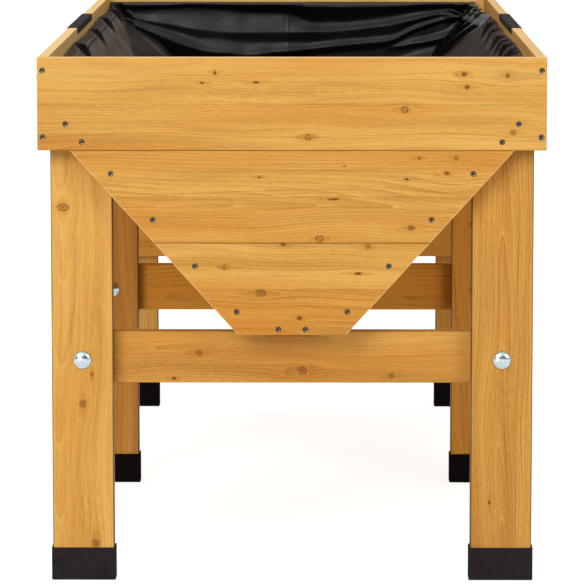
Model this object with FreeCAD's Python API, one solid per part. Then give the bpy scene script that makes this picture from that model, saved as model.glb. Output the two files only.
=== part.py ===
# Raised garden bed: a V-shaped timber trough with a fabric liner, carried on three frames of legs.
# Millimetres. +X runs across the bed, +Y along it and +Z up. The origin is on the floor under its middle.
import FreeCAD
import Part
import math
import os

from FreeCAD import Vector

# Overall size, over the timber
bed_length = 1800.0
bed_width = 760.0
bed_height = 800.0

# End panels: a square-ended rim board over boards that are cut to the V
panel_thickness = 16.0
course_height = 139.0
panel_courses = 2
panel_shoulder = 48.0
panel_bottom_width = 162.0
board_round = 1.0

# Long rim boards, in two lengths each side
rim_thickness = 16.0
rim_round = 1.5
splice_y = 36.0
splice_gap = 0.6

# Cleats behind the end panels, and the ribs that carry the side boards' middle joint
cleat_width = 40.0
cleat_thickness = 28.0
cleat_inset = 2.0

# Side boards, lying on the cleats, and the keel board that they stand on
side_thickness = 14.0
side_courses = 4
side_gap = 3.0
side_joint_gap = 1.0
side_fit = 0.3
side_top_drop = 18.0
keel_width = 80.0
keel_thickness = 20.0
keel_drop = 5.0
keel_joint_gap = 1.0
drain_diameter = 12.0
drain_pitch = 120.0

# Legs, foot caps and the bars between the legs
leg_width = 93.0
leg_depth = 32.0
leg_round = 2.0
bar_height = 79.0
bar_thickness = 28.0
bar_end_inset = 6.0
cap_height = 50.0
cap_wall = 2.0
cap_floor = 3.0
cap_fit = 0.2
cap_round = 2.5

# Carriage bolts, which hold each bar to its legs
bolt_diameter = 10.0
bolt_clearance = 0.25
bolt_head_diameter = 28.0
bolt_head_height = 6.0
bolt_neck_length = 6.0
bolt_end = 4.0
washer_diameter = 20.0
washer_thickness = 2.0
nut_width = 17.0
nut_height = 8.0

# Wood screws with countersunk heads
screw_diameter = 4.5
screw_head_diameter = 9.5
screw_tip = 5.0
screw_length = 32.0
panel_screw_edge = 35.0
rim_screw_low = 12.5
rim_screw_high = 39.5
corner_screw_edge = 19.7
keel_screw_spacing = 40.6
keel_screw_depth = 6.5
leg_screw_low = 20.0
leg_screw_spacing = 42.0

# Channel clips over the splices of the long rim boards
clip_length = 410.0
clip_sheet = 1.2
clip_flange = 10.0
clip_bend = 1.5

# Liner, gathered at its hem: it is held to the rim at the ends of its tucks and bows inwards between them
liner_sheet = 2.0
liner_gap = 0.4
liner_drop = 13.0
liner_tucks = 9
liner_end_tucks = 4
liner_bow = 9.0
liner_tuck_depth = 95.0

# Places that follow from the sizes
half_width = bed_width / 2
half_length = bed_length / 2
rim_inner_x = half_width - rim_thickness
panel_inner_y = half_length - panel_thickness
rim_bottom_z = bed_height - course_height
panel_bottom_z = rim_bottom_z - panel_courses * course_height

slope_run = half_width - panel_shoulder - panel_bottom_width / 2
slope_rise = rim_bottom_z - panel_bottom_z
slope = math.atan2(slope_rise, slope_run)
up_slope = Vector(math.cos(slope), 0, math.sin(slope))
off_slope = Vector(-math.sin(slope), 0, math.cos(slope))

hem_z = bed_height - liner_drop
bar_top_z = panel_bottom_z - keel_drop
keel_top_z = bar_top_z + keel_thickness

end_leg_y = -panel_inner_y + cleat_thickness
middle_leg_y = -leg_depth / 2
keel_joint_y = middle_leg_y + leg_depth + bar_thickness / 2
leg_outer_x = rim_inner_x
leg_inner_x = leg_outer_x - leg_width
leg_middle_x = leg_outer_x - leg_width / 2
bolt_z = bar_top_z - bar_height / 2


def panel_edge_x(z):
    """Half the width of the V panel at a height."""
    return panel_bottom_width / 2 + (z - panel_bottom_z) / math.tan(slope)


# The side boards' outer faces lie on one sloping plane, inside the V panel's edge by the cleat and its inset.
slope_foot = Vector(panel_edge_x(keel_top_z) - (cleat_inset + cleat_width) / math.sin(slope), 0, keel_top_z)
# They end at the long rim board or below the liner's hem, whichever comes first up the slope.
length_to_rim = (rim_inner_x - side_fit - slope_foot.x) / math.cos(slope)
side_top_z = hem_z - side_top_drop - side_thickness * math.cos(slope)
length_to_hem = (side_top_z - slope_foot.z) / math.sin(slope)
slope_length = min(length_to_rim, length_to_hem)
side_width = (slope_length - (side_courses - 1) * side_gap) / side_courses


def on_slope(along, across):
    """(x, z) of a point that far up the slope from the keel's top, and that far inside the sloping plane."""
    point = slope_foot + up_slope * along + off_slope * across
    return point.x, point.z


def slope_z(x, across=0.0):
    """Height of the sloping plane, or of a plane that far inside it, at a place across the bed."""
    return slope_foot.z + (x - slope_foot.x) * math.tan(slope) + across / math.cos(slope)


def slope_x(z, across=0.0):
    """Place across the bed of the sloping plane, or of a plane that far inside it, at a height."""
    return slope_foot.x + (z - slope_foot.z) / math.tan(slope) - across / math.sin(slope)


# Shapes and tools that the pieces share
def block(x_range, y_range, z_range):
    corner = Vector(x_range[0], y_range[0], z_range[0])
    return Part.makeBox(
        x_range[1] - x_range[0], y_range[1] - y_range[0], z_range[1] - z_range[0], corner
    )


def prism(outline, y_range):
    """Outline of (x, z) points, extruded along the bed."""
    points = [Vector(x, y_range[0], z) for x, z in outline]
    face = Part.Face(Part.makePolygon(points + points[:1]))
    return face.extrude(Vector(0, y_range[1] - y_range[0], 0))


def eased(shape, along, radius):
    """The shape with its edges along one axis rounded."""
    edges = [
        edge
        for edge in shape.Edges
        if len(edge.Vertexes) == 2
        and abs(abs((edge.Vertexes[1].Point - edge.Vertexes[0].Point).normalize().dot(along)) - 1) < 1e-6
    ]
    return shape.makeFillet(radius, edges)


def mirrored(shape, axis):
    return shape.mirror(Vector(0, 0, 0), axis)


def placed(shape, point, direction):
    """A shape made along -Z from the origin, turned to point in a direction from a place."""
    copy = shape.copy()
    copy.Placement = FreeCAD.Placement(point, FreeCAD.Rotation(Vector(0, 0, -1), direction))
    return copy


def drilled(shape, tools):
    """The shape less the tools that reach into it."""
    reaching = [tool for tool in tools if tool.BoundBox.intersect(shape.BoundBox)]
    return shape.cut(reaching) if reaching else shape


X_AXIS = Vector(1, 0, 0)
Y_AXIS = Vector(0, 1, 0)
Z_AXIS = Vector(0, 0, 1)


# Screws
def wood_screw():
    head_radius = screw_head_diameter / 2
    shank_radius = screw_diameter / 2
    head_depth = head_radius - shank_radius
    outline = [
        Vector(0, 0, 0),
        Vector(head_radius, 0, 0),
        Vector(shank_radius, 0, -head_depth),
        Vector(shank_radius, 0, screw_tip - screw_length),
        Vector(0, 0, -screw_length),
    ]
    face = Part.Face(Part.makePolygon(outline + outline[:1]))
    return face.revolve(Vector(0, 0, 0), Z_AXIS, 360)


def front_panel_screws():
    """Screws of the front end panel: into the cleats, the long rim boards and the keel."""
    cleat_middle = -cleat_width / 2
    heights = [rim_bottom_z + rim_screw_high, rim_bottom_z + rim_screw_low]
    for course in range(panel_courses):
        top = rim_bottom_z - course * course_height
        heights += [top - panel_screw_edge, top - course_height + panel_screw_edge]
    places = [(slope_x(z, cleat_middle), z) for z in heights]
    rim_middle_x = rim_inner_x + rim_thickness / 2
    corner_heights = [bed_height - corner_screw_edge, rim_bottom_z + corner_screw_edge]
    places += [(rim_middle_x, z) for z in corner_heights]
    places += [(keel_screw_spacing / 2, keel_top_z - keel_screw_depth)]
    screw = wood_screw()
    return [
        placed(screw, Vector(side * x, -half_length, z), Y_AXIS) for side in (-1, 1) for x, z in places
    ]


def rim_to_leg_screws():
    screw = wood_screw()
    leg_middles = [end_leg_y + leg_depth / 2, 0, -end_leg_y - leg_depth / 2]
    heights = [rim_bottom_z + leg_screw_low, rim_bottom_z + leg_screw_low + leg_screw_spacing]
    return [
        placed(screw, Vector(side * half_width, y, z), X_AXIS * -side)
        for side in (-1, 1)
        for y in leg_middles
        for z in heights
    ]


def side_board_screws():
    """One screw at each end of each side board, driven from inside into the cleat, rib or middle leg."""
    screw = wood_screw()
    panel_screw_tip_y = half_length - screw_length
    cleat_back_y = panel_inner_y - cleat_thickness
    cleat_y = (panel_screw_tip_y + cleat_back_y) / 2
    joint_y = side_joint_gap / 2 + leg_depth / 4
    screws = []
    for course in range(side_courses):
        x, z = on_slope((course + 0.5) * side_width + course * side_gap, side_thickness)
        for y in (-cleat_y, -joint_y, joint_y, cleat_y):
            screws.append(placed(screw, Vector(x, y, z), off_slope * -1))
    return screws + [mirrored(screw, X_AXIS) for screw in screws]


def keel_screws():
    """Screws through the keel boards into the bars."""
    screw = wood_screw()
    bar_y = end_leg_y + leg_depth + bar_thickness / 2
    beside_joint = bar_thickness / 4
    return [
        placed(screw, Vector(side * keel_screw_spacing / 2, y, keel_top_z), Z_AXIS * -1)
        for side in (-1, 1)
        for y in (bar_y, keel_joint_y - beside_joint, keel_joint_y + beside_joint, -bar_y)
    ]


# Bolts
def carriage_bolt():
    """Domed head over a square neck, made with the head's underside at the origin and the shank along -Z."""
    radius = bolt_head_diameter / 2
    height = bolt_head_height
    dome_radius = (radius**2 + height**2) / (2 * height)
    rise = math.sqrt(dome_radius**2 - (radius / 2) ** 2) - (dome_radius - height)
    dome = Part.Arc(Vector(radius, 0, 0), Vector(radius / 2, 0, rise), Vector(0, 0, height))
    lines = [
        Part.LineSegment(Vector(0, 0, height), Vector(0, 0, 0)),
        Part.LineSegment(Vector(0, 0, 0), Vector(radius, 0, 0)),
    ]
    outline = Part.Wire([dome.toShape()] + [line.toShape() for line in lines])
    head = Part.Face(outline).revolve(Vector(0, 0, 0), Z_AXIS, 360)
    half_neck = bolt_diameter / 2
    neck = block((-half_neck, half_neck), (-half_neck, half_neck), (-bolt_neck_length, 0))
    length = leg_depth + bar_thickness + washer_thickness + nut_height + bolt_end
    shank = Part.makeCylinder(bolt_diameter / 2, length, Vector(0, 0, 0), Z_AXIS * -1)
    return head.fuse([neck, shank]).removeSplitter()


def bolt_hole():
    """What a bolt takes out of its leg and bar."""
    half_neck = bolt_diameter / 2
    neck = block((-half_neck, half_neck), (-half_neck, half_neck), (-bolt_neck_length, 0))
    depth = leg_depth + bar_thickness
    bore = Part.makeCylinder(bolt_diameter / 2 + bolt_clearance, depth, Vector(0, 0, 0), Z_AXIS * -1)
    return bore.fuse(neck)


def washer():
    down = Z_AXIS * -1
    outer = Part.makeCylinder(washer_diameter / 2, washer_thickness, Vector(0, 0, 0), down)
    bore = Part.makeCylinder(bolt_diameter / 2 + bolt_clearance, washer_thickness, Vector(0, 0, 0), down)
    return outer.cut(bore)


def hex_nut():
    corner = nut_width / math.sqrt(3)
    points = [
        Vector(corner * math.cos(math.radians(60 * k)), corner * math.sin(math.radians(60 * k)), 0)
        for k in range(7)
    ]
    body = Part.Face(Part.makePolygon(points)).extrude(Vector(0, 0, -nut_height))
    bore = Part.makeCylinder(bolt_diameter / 2, nut_height, Vector(0, 0, 0), Z_AXIS * -1)
    return body.cut(bore)


def bolt_set(piece, depth):
    """A piece of the bolts, at each leg of the three frames, that deep behind the legs' outer faces."""
    middle_frame = [placed(piece, Vector(leg_middle_x, middle_leg_y + depth, bolt_z), Y_AXIS)]
    front_frame = [placed(piece, Vector(leg_middle_x, end_leg_y + depth, bolt_z), Y_AXIS)]
    right_side = front_frame + middle_frame + [mirrored(front_frame[0], Y_AXIS)]
    return [mirrored(bolt, X_AXIS) for bolt in right_side] + right_side


# Timber
def rim_end_board():
    board = block((-half_width, half_width), (-half_length, -panel_inner_y), (rim_bottom_z, bed_height))
    return eased(board, X_AXIS, board_round)


def v_panel_board(course):
    """A board of the front end panel, cut to the V: course 0 is under the rim board."""
    top = rim_bottom_z - course * course_height
    bottom = top - course_height
    outline = [
        (-panel_edge_x(bottom), bottom),
        (panel_edge_x(bottom), bottom),
        (panel_edge_x(top), top),
        (-panel_edge_x(top), top),
    ]
    return eased(prism(outline, (-half_length, -panel_inner_y)), X_AXIS, board_round)


def long_rim_board(y_range):
    board = block((rim_inner_x, half_width), y_range, (rim_bottom_z, bed_height))
    return eased(board, Y_AXIS, rim_round)


def side_board(course, y_range):
    """A side board on the right: the lowest is bevelled to stand flat on the keel."""
    low = course * (side_width + side_gap)
    high = low + side_width
    bevel = side_thickness / math.tan(slope) if course == 0 else 0
    outline = [
        on_slope(low, 0),
        on_slope(high, 0),
        on_slope(high, side_thickness),
        on_slope(low - bevel, side_thickness),
    ]
    return prism(outline, y_range)


def keel_board(y_range):
    board = block((-keel_width / 2, keel_width / 2), y_range, (bar_top_z, keel_top_z))
    board = eased(board, Y_AXIS, board_round)
    length = y_range[1] - y_range[0]
    count = int(length / drain_pitch)
    first = y_range[0] + (length - (count - 1) * drain_pitch) / 2
    drains = [
        Part.makeCylinder(drain_diameter / 2, keel_thickness, Vector(0, first + k * drain_pitch, bar_top_z))
        for k in range(count)
    ]
    return board.cut(drains)


def end_cleat():
    """Cleat behind the front panel on the right, from the keel's side up to the long rim board."""
    foot_x = keel_width / 2
    foot_z = panel_bottom_z + cleat_inset
    outline = [
        (foot_x, slope_z(foot_x)),
        (foot_x, foot_z),
        (slope_x(foot_z, -cleat_width), foot_z),
        (rim_inner_x, slope_z(rim_inner_x, -cleat_width)),
        (rim_inner_x, slope_z(rim_inner_x)),
    ]
    return prism(outline, (-panel_inner_y, -panel_inner_y + cleat_thickness))


def middle_rib():
    """Rib under the side boards' joint on the right, from the keel's side up to the middle leg."""
    foot_x = keel_width / 2
    outline = [
        (foot_x, slope_z(foot_x)),
        (foot_x, bar_top_z),
        (slope_x(bar_top_z, -cleat_width), bar_top_z),
        (leg_inner_x, slope_z(leg_inner_x, -cleat_width)),
        (leg_inner_x, slope_z(leg_inner_x)),
    ]
    return prism(outline, (middle_leg_y, middle_leg_y + leg_depth))


def leg(y):
    """A leg on the right, with its top cut to the slope and its foot on the floor of its cap."""
    outline = [
        (leg_inner_x, cap_floor),
        (leg_outer_x, cap_floor),
        (leg_outer_x, slope_z(leg_outer_x)),
        (leg_inner_x, slope_z(leg_inner_x)),
    ]
    return eased(prism(outline, (y, y + leg_depth)), Z_AXIS, leg_round)


def foot_cap(y):
    """Moulded cup on the foot of a leg on the right."""
    wall = cap_wall + cap_fit
    outside = block(
        (leg_inner_x - wall, leg_outer_x + wall), (y - wall, y + leg_depth + wall), (0, cap_height)
    )
    outside = eased(outside, Z_AXIS, cap_round)
    sole = min(outside.Faces, key=lambda face: face.CenterOfMass.z)
    outside = outside.makeFillet(cap_round / 2, sole.Edges)
    pocket = block(
        (leg_inner_x - cap_fit, leg_outer_x + cap_fit),
        (y - cap_fit, y + leg_depth + cap_fit),
        (cap_floor, cap_height),
    )
    return outside.cut(pocket)


def bar(y):
    half = leg_outer_x - bar_end_inset
    timber = block((-half, half), (y, y + bar_thickness), (bar_top_z - bar_height, bar_top_z))
    return eased(timber, X_AXIS, leg_round)


# Plastic channel and fabric
def rim_clip():
    """Channel over the splice of the long rim boards on the right."""
    inner_x = rim_inner_x - clip_sheet
    outer_x = half_width + clip_sheet
    low_z = bed_height - clip_flange
    top_z = bed_height + clip_sheet
    y_range = (splice_y - clip_length / 2, splice_y + clip_length / 2)
    outside = block((inner_x, outer_x), y_range, (low_z, top_z))
    crown = max(outside.Faces, key=lambda face: face.CenterOfMass.z)
    bends = [edge for edge in crown.Edges if edge.BoundBox.YLength > clip_length / 2]
    outside = outside.makeFillet(clip_bend, bends)
    return outside.cut(block((rim_inner_x, half_width), y_range, (low_z, bed_height)))


def liner_outline(depth, top_z):
    """The liner's section up to a height, that deep inside the face that lies on the boards."""
    across = side_thickness + liner_gap + depth
    floor_z = keel_top_z + liner_gap + depth
    right = [(slope_x(floor_z, across), floor_z), (slope_x(top_z, across), top_z)]
    return right + [(-x, z) for x, z in reversed(right)]


def tucked_line(start, end, tucks, bow):
    """Edges from one corner of the hem to the next, each bowed to the left by up to that much."""
    step = (end - start) / tucks
    inwards = Z_AXIS.cross(step).normalize()
    edges = []
    for tuck in range(tucks):
        first = start + step * tuck
        second = start + step * (tuck + 1)
        if bow == 0:
            edges.append(Part.LineSegment(first, second).toShape())
            continue
        fullness = 0.75 + 0.25 * math.sin(2.4 * tuck)
        middle = (first + second) / 2 + inwards * bow * fullness
        edges.append(Part.Arc(first, middle, second).toShape())
    return edges


def liner_ring(half_x, half_y, z, bow):
    """Closed line round the liner at a height, bowed inwards between the ends of the tucks."""
    corners = [Vector(x * half_x, y * half_y, z) for x, y in ((1, -1), (1, 1), (-1, 1), (-1, -1))]
    edges = []
    for side in range(4):
        tucks = liner_end_tucks if side % 2 else liner_tucks
        edges += tucked_line(corners[side], corners[(side + 1) % 4], tucks, bow)
    return Part.Wire(edges)


def liner_body(depth):
    """What the liner fills, that deep inside its outer face: a plain V and a gathered band up to the hem."""
    across = side_thickness + liner_gap + depth
    half_y = panel_inner_y - liner_gap - depth
    hem_x = min(rim_inner_x - liner_gap - depth, slope_x(hem_z, across))
    band_z = hem_z - liner_tuck_depth
    band = Part.makeLoft(
        [
            liner_ring(slope_x(band_z, across), half_y, band_z, 0),
            liner_ring(hem_x, half_y, hem_z, liner_bow),
        ],
        True,
        True,
    )
    return prism(liner_outline(depth, band_z), (-half_y, half_y)).fuse(band)


def liner():
    """Fabric sheet that lines the trough, open at the top."""
    return liner_body(0).cut(liner_body(liner_sheet)).removeSplitter()


def front_and_rear(name, shape):
    return {f"front_{name}": shape, f"rear_{name}": mirrored(shape, Y_AXIS)}


def left_and_right(prefix, name, shape):
    return {f"{prefix}left_{name}": mirrored(shape, X_AXIS), f"{prefix}right_{name}": shape}


def timber_pieces():
    """Every board, leg and bar, before its screws and bolts are let in."""
    pieces = front_and_rear("rim_board", rim_end_board())
    for course in range(panel_courses):
        pieces |= front_and_rear(f"panel_board_{course + 1}", v_panel_board(course))

    halves = {
        "front": (-panel_inner_y, splice_y - splice_gap / 2),
        "rear": (splice_y + splice_gap / 2, panel_inner_y),
    }
    for end, y_range in halves.items():
        pieces |= left_and_right("", f"{end}_long_rim_board", long_rim_board(y_range))

    for course in range(side_courses):
        rear_half = side_board(course, (side_joint_gap / 2, panel_inner_y))
        for end, board in (("front", mirrored(rear_half, Y_AXIS)), ("rear", rear_half)):
            pieces |= left_and_right("", f"{end}_side_board_{course + 1}", board)

    pieces["front_keel_board"] = keel_board((-panel_inner_y, keel_joint_y - keel_joint_gap / 2))
    pieces["rear_keel_board"] = keel_board((keel_joint_y + keel_joint_gap / 2, panel_inner_y))

    for side, cleat in left_and_right("", "cleat", end_cleat()).items():
        pieces |= front_and_rear(side, cleat)
    pieces |= left_and_right("middle_", "rib", middle_rib())

    for side, end_leg in left_and_right("", "leg", leg(end_leg_y)).items():
        pieces |= front_and_rear(side, end_leg)
    pieces |= left_and_right("middle_", "leg", leg(middle_leg_y))

    pieces |= front_and_rear("bar", bar(end_leg_y + leg_depth))
    pieces["middle_bar"] = bar(middle_leg_y + leg_depth)
    return pieces


def fastener_groups():
    """Like fasteners, as one group of separate solids each."""
    panel_screws = front_panel_screws()
    behind_bar = leg_depth + bar_thickness
    return {
        "end_panel_screws": panel_screws + [mirrored(screw, Y_AXIS) for screw in panel_screws],
        "rim_to_leg_screws": rim_to_leg_screws(),
        "side_board_screws": side_board_screws(),
        "keel_screws": keel_screws(),
        "carriage_bolts": bolt_set(carriage_bolt(), 0),
        "bolt_washers": bolt_set(washer(), behind_bar),
        "bolt_nuts": bolt_set(hex_nut(), behind_bar + washer_thickness),
    }


def main():
    groups = fastener_groups()
    screws = [screw for name, group in groups.items() if name.endswith("_screws") for screw in group]
    tools = screws + bolt_set(bolt_hole(), 0)
    pieces = {name: drilled(shape, tools) for name, shape in timber_pieces().items()}
    pieces |= {name: Part.makeCompound(group) for name, group in groups.items()}
    for side, cap in left_and_right("", "foot_cap", foot_cap(end_leg_y)).items():
        pieces |= front_and_rear(side, cap)
    pieces |= left_and_right("middle_", "foot_cap", foot_cap(middle_leg_y))
    pieces |= left_and_right("", "rim_clip", rim_clip())
    pieces["liner"] = liner()

    os.makedirs("parts", exist_ok=True)
    for name, shape in pieces.items():
        shape.exportStep(f"parts/{name}.step")
    solids = sum(len(shape.Solids) for shape in pieces.values())
    print(f"{len(pieces)} nodes, {solids} solids, liner volume {pieces['liner'].Volume / 1000:.0f} cm3")
    print(f"slope {math.degrees(slope):.1f} degrees, side boards {side_width:.1f} wide")


main()
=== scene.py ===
# %% [markdown]
# # Raised garden bed
# A timber trough with a V section stands at table height on three frames of legs, and a black
# fabric liner hangs in it. The construction comes as a fixed frame of separate boards, legs and
# fasteners. This script gives every piece its finish, and replaces the plain liner and fasteners
# with detailed ones. Lengths are in metres, unless a name ends in `_MM` or `_mm`.

# %% Load the construction
import math
import random
from functools import partial
from types import SimpleNamespace

import bmesh
import bpy
from mathutils import Matrix, Vector, noise


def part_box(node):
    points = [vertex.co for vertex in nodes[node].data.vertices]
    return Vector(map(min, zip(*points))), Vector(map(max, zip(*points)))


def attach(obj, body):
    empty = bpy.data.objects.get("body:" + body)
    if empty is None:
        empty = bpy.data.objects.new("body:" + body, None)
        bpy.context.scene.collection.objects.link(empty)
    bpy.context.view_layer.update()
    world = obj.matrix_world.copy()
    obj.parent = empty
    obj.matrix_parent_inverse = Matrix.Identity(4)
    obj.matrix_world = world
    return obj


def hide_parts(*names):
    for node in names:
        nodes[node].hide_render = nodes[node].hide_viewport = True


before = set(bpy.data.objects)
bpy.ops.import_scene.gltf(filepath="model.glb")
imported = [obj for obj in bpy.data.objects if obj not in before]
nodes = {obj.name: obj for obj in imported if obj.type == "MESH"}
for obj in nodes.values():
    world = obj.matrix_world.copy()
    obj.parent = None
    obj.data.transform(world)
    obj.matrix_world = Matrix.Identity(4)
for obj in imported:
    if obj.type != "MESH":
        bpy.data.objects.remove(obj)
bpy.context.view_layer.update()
scene = bpy.context.scene
scene.view_settings.view_transform = "Standard"
MM = 0.001
print("pieces of the construction:", len(nodes))

# %% [markdown]
# ## Helpers for materials
# Colours are written as sRGB hex values, as a paint chart or an eyedropper gives them, but shaders
# calculate with linear light, so one function converts them. A second small function adds a node,
# sets it up and links it, which keeps the recipes below short enough to read.


# %% Colour and node helpers
def srgb(hex_colour):
    """Linear RGBA of an sRGB hex colour."""
    channels = [int(hex_colour[k : k + 2], 16) / 255 for k in (1, 3, 5)]
    linear = [c / 12.92 if c <= 0.04045 else ((c + 0.055) / 1.055) ** 2.4 for c in channels]
    return (*linear, 1.0)


def add_node(tree, kind, *values, stops=(), **settings):
    """Adds a node. A kind in capitals is an operation of a Math node, or with VECTOR_ of a Vector
    Math node. Values go to its inputs in order, and a dictionary has them by name or number. A
    value is a number, a vector, a hex colour, a socket, or a node, which is linked by its first
    output. Settings are the node's own options, and stops the places and colours of a ramp."""
    if kind.isupper():
        settings["operation"] = kind.removeprefix("VECTOR_")
        kind = "VectorMath" if kind.startswith("VECTOR_") else "Math"
    node = tree.nodes.new(kind if kind.startswith("NodeGroup") else "ShaderNode" + kind)
    for name, value in settings.items():
        setattr(node, name, value)
    if stops:
        ramp = node.color_ramp.elements
        for element, (position, colour) in ((ramp[0], stops[0]), (ramp[-1], stops[-1])):
            element.position, element.color = position, srgb(colour)
        for position, colour in stops[1:-1]:
            ramp.new(position).color = srgb(colour)
    inputs = {}
    for number, value in enumerate(values):
        inputs |= value if isinstance(value, dict) else {number: value}
    for key, value in inputs.items():
        if isinstance(value, bpy.types.Node):
            value = next(socket for socket in value.outputs if socket.enabled)
        if isinstance(value, bpy.types.NodeSocket):
            tree.links.new(value, node.inputs[key])
        else:
            node.inputs[key].default_value = srgb(value) if isinstance(value, str) else value
    return node


def new_material(name):
    """An empty node material, and the function that adds nodes to it."""
    material = bpy.data.materials.new(name)
    material.use_nodes = True
    material.node_tree.nodes.clear()
    return material, partial(add_node, material.node_tree)


def dress(piece, material):
    """Gives a piece of the construction one material all over, or a new piece its next material."""
    if piece.name in nodes:
        piece.data.materials.clear()
    piece.data.materials.append(material)


print("fir mid tone, linear:", [round(c, 3) for c in srgb("#dca352")[:3]])

# %% [markdown]
# ## Camera
# The bed is seen square on to one end from a little above the rim, from far away with a long lens,
# so that the far frames look only a little smaller than the near one. The lens has no shift.

# %% Camera
CAMERA_PLACE = (0.0314, -6.6014, 1.1843)
CAMERA_PITCH, CAMERA_YAW = math.radians(7.356), math.radians(0.315)
SENSOR_MM, LENS_MM = 36, 236.46


def put(name, data):
    """A new object in the scene."""
    thing = bpy.data.objects.new(name, data)
    scene.collection.objects.link(thing)
    return thing


camera = put("camera", bpy.data.cameras.new("camera"))
camera.data.sensor_width, camera.data.lens, camera.data.clip_end = SENSOR_MM, LENS_MM, 100
camera.location = CAMERA_PLACE
camera.rotation_euler = (math.pi / 2 - CAMERA_PITCH, 0, CAMERA_YAW)
scene.camera = camera
print("camera at", CAMERA_PLACE, "lens", LENS_MM)

# %% [markdown]
# ## Floor and light
# A white sweep of floor fills the picture. Its own colour makes it white: to the camera, and in
# reflections, the floor also glows, so it reads as white paper and still keeps the shadow under
# the feet. The light is a big soft box in front and above, a weaker one on the other side, one
# over the trough and a small low one for the legs, in a pale room. Only shiny surfaces notice that
# the end of the room behind the camera is dark up to head height.

# %% Floor
FLOOR_HALF = 40.0
# Distance from the bed, and strength: less where the shadow lies.
GLOW_NEAR, GLOW_FAR = (1.2, 0.8), (4.0, 1.0)

corner_signs = ((-1, -1), (1, -1), (1, 1), (-1, 1))
floor_corners = [(x * FLOOR_HALF, y * FLOOR_HALF, 0) for x, y in corner_signs]
floor_mesh = bpy.data.meshes.new("floor")
floor_mesh.from_pydata(floor_corners, [], [(0, 1, 2, 3)])
floor = put("floor", floor_mesh)


def seen_directly(add):
    """1 for camera, mirror and glass rays, 0 for the light that bounces on."""
    ray = add("LightPath").outputs
    seen = add("MAXIMUM", ray["Is Camera Ray"], ray["Is Glossy Ray"])
    return add("MAXIMUM", seen, ray["Is Transmission Ray"])


paper, add = new_material("white_paper_floor")
from_bed = add("VECTOR_LENGTH", add("TexCoord").outputs["Object"])
strength = add("MapRange", from_bed, GLOW_NEAR[0], GLOW_FAR[0], GLOW_NEAR[1], GLOW_FAR[1])
glow = add("Emission", "#ffffff", strength)
nothing = add("Emission", {"Strength": 0.0})
lift = add("MixShader", seen_directly(add), nothing, glow)
matte = add("BsdfDiffuse", "#c6c6c4")
add("OutputMaterial", add("AddShader", matte, lift))
dress(floor, paper)
print("floor:", 2 * FLOOR_HALF, "m square")

# %% Room and soft boxes
ROOM_LIGHT, DARK_END = 0.31, 0.06
BED_MIDDLE = (0, -0.4, 0.5)

scene.world = bpy.data.worlds.new("pale_room")
scene.world.use_nodes = True
scene.world.node_tree.nodes.clear()
add = partial(add_node, scene.world.node_tree)
towards = add("SeparateXYZ", add("TexCoord").outputs["Generated"]).outputs
behind = add("MapRange", towards["Y"], -0.55, -0.8)
low = add("MapRange", towards["Z"], 0.34, 0.2)
dark = add("MULTIPLY", behind, low)
dark = add("MULTIPLY", dark, add("LightPath").outputs["Is Glossy Ray"])
strength = add("MapRange", dark, 0.0, 1.0, 1.0, DARK_END)
backdrop = add("Background", "#ffffff", strength)
room = add("Background", "#ffffff", ROOM_LIGHT)
add("OutputWorld", add("MixShader", seen_directly(add), room, backdrop))

# Each soft box has a place, a point that it is turned to, a width and height, and a power in
# watts.
for name, place, target, (wide, high), watts in (
    ("key_light", (-2.6, -8.4, 4.0), BED_MIDDLE, (4.2, 3.2), 356),
    ("fill_light", (4.8, -7.4, 3.3), BED_MIDDLE, (3.5, 3.5), 160),
    ("top_light", (-0.4, 0.6, 4.2), (0, 0, 0.7), (3.6, 3.6), 76),
    ("low_light", (-2.2, -7.2, 0.42), (0, 0, 0.36), (2.2, 0.6), 32),
):
    lamp = bpy.data.lights.new(name, "AREA")
    lamp.shape = "RECTANGLE"
    lamp.size, lamp.size_y, lamp.energy = wide, high, watts
    box = put(name, lamp)
    box.location = place
    box.rotation_euler = (Vector(target) - Vector(place)).to_track_quat("-Z", "Y").to_euler()

# %% [markdown]
# ## Stained fir
# Every board is fir, planed, glued up from narrow strips and dipped in a honey-coloured stain.
# Broad soft bands of tone, fine streaks, the arched lines of the growth rings, and small knots
# that the grain flows round make it read as fir. A picture of wood would repeat and stop at the
# edges, so the pattern is worked out in millimetres from the board's own directions, as if it were
# cut from a log, and it runs on round the edges. Two node groups hold what all the boards share:
# one knot, and grain without knots.

# %% Node group: a knot in the grain
KNOT_OUT = ("Bend", "Heart", "Core", "Spot", "Rim", "Halo", "Shade")
BREAKS_PER_MM = 0.22  # in the rim of a knot
# The shade beside a knot and the bend of the grain reach further along the grain than across it.
SHADE_SHRINK, FLOW_SHRINK = (0.2, 0.62, 0), (0.42, 1.0, 0)
FLOW_STRENGTH = 1.9


def new_group(name, vectors, numbers, results):
    """A node group with these inputs and results, the function that adds to it, and its inputs."""
    group = bpy.data.node_groups.new(name, "ShaderNodeTree")
    sockets = [(socket, "INPUT", "NodeSocketVector") for socket in vectors]
    sockets += [(socket, "INPUT", "NodeSocketFloat") for socket in numbers]
    sockets += [(socket, "OUTPUT", "NodeSocketFloat") for socket in results]
    for socket, way, kind in sockets:
        group.interface.new_socket(socket, in_out=way, socket_type=kind)
    return group, partial(add_node, group), add_node(group, "NodeGroupInput").outputs


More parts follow.
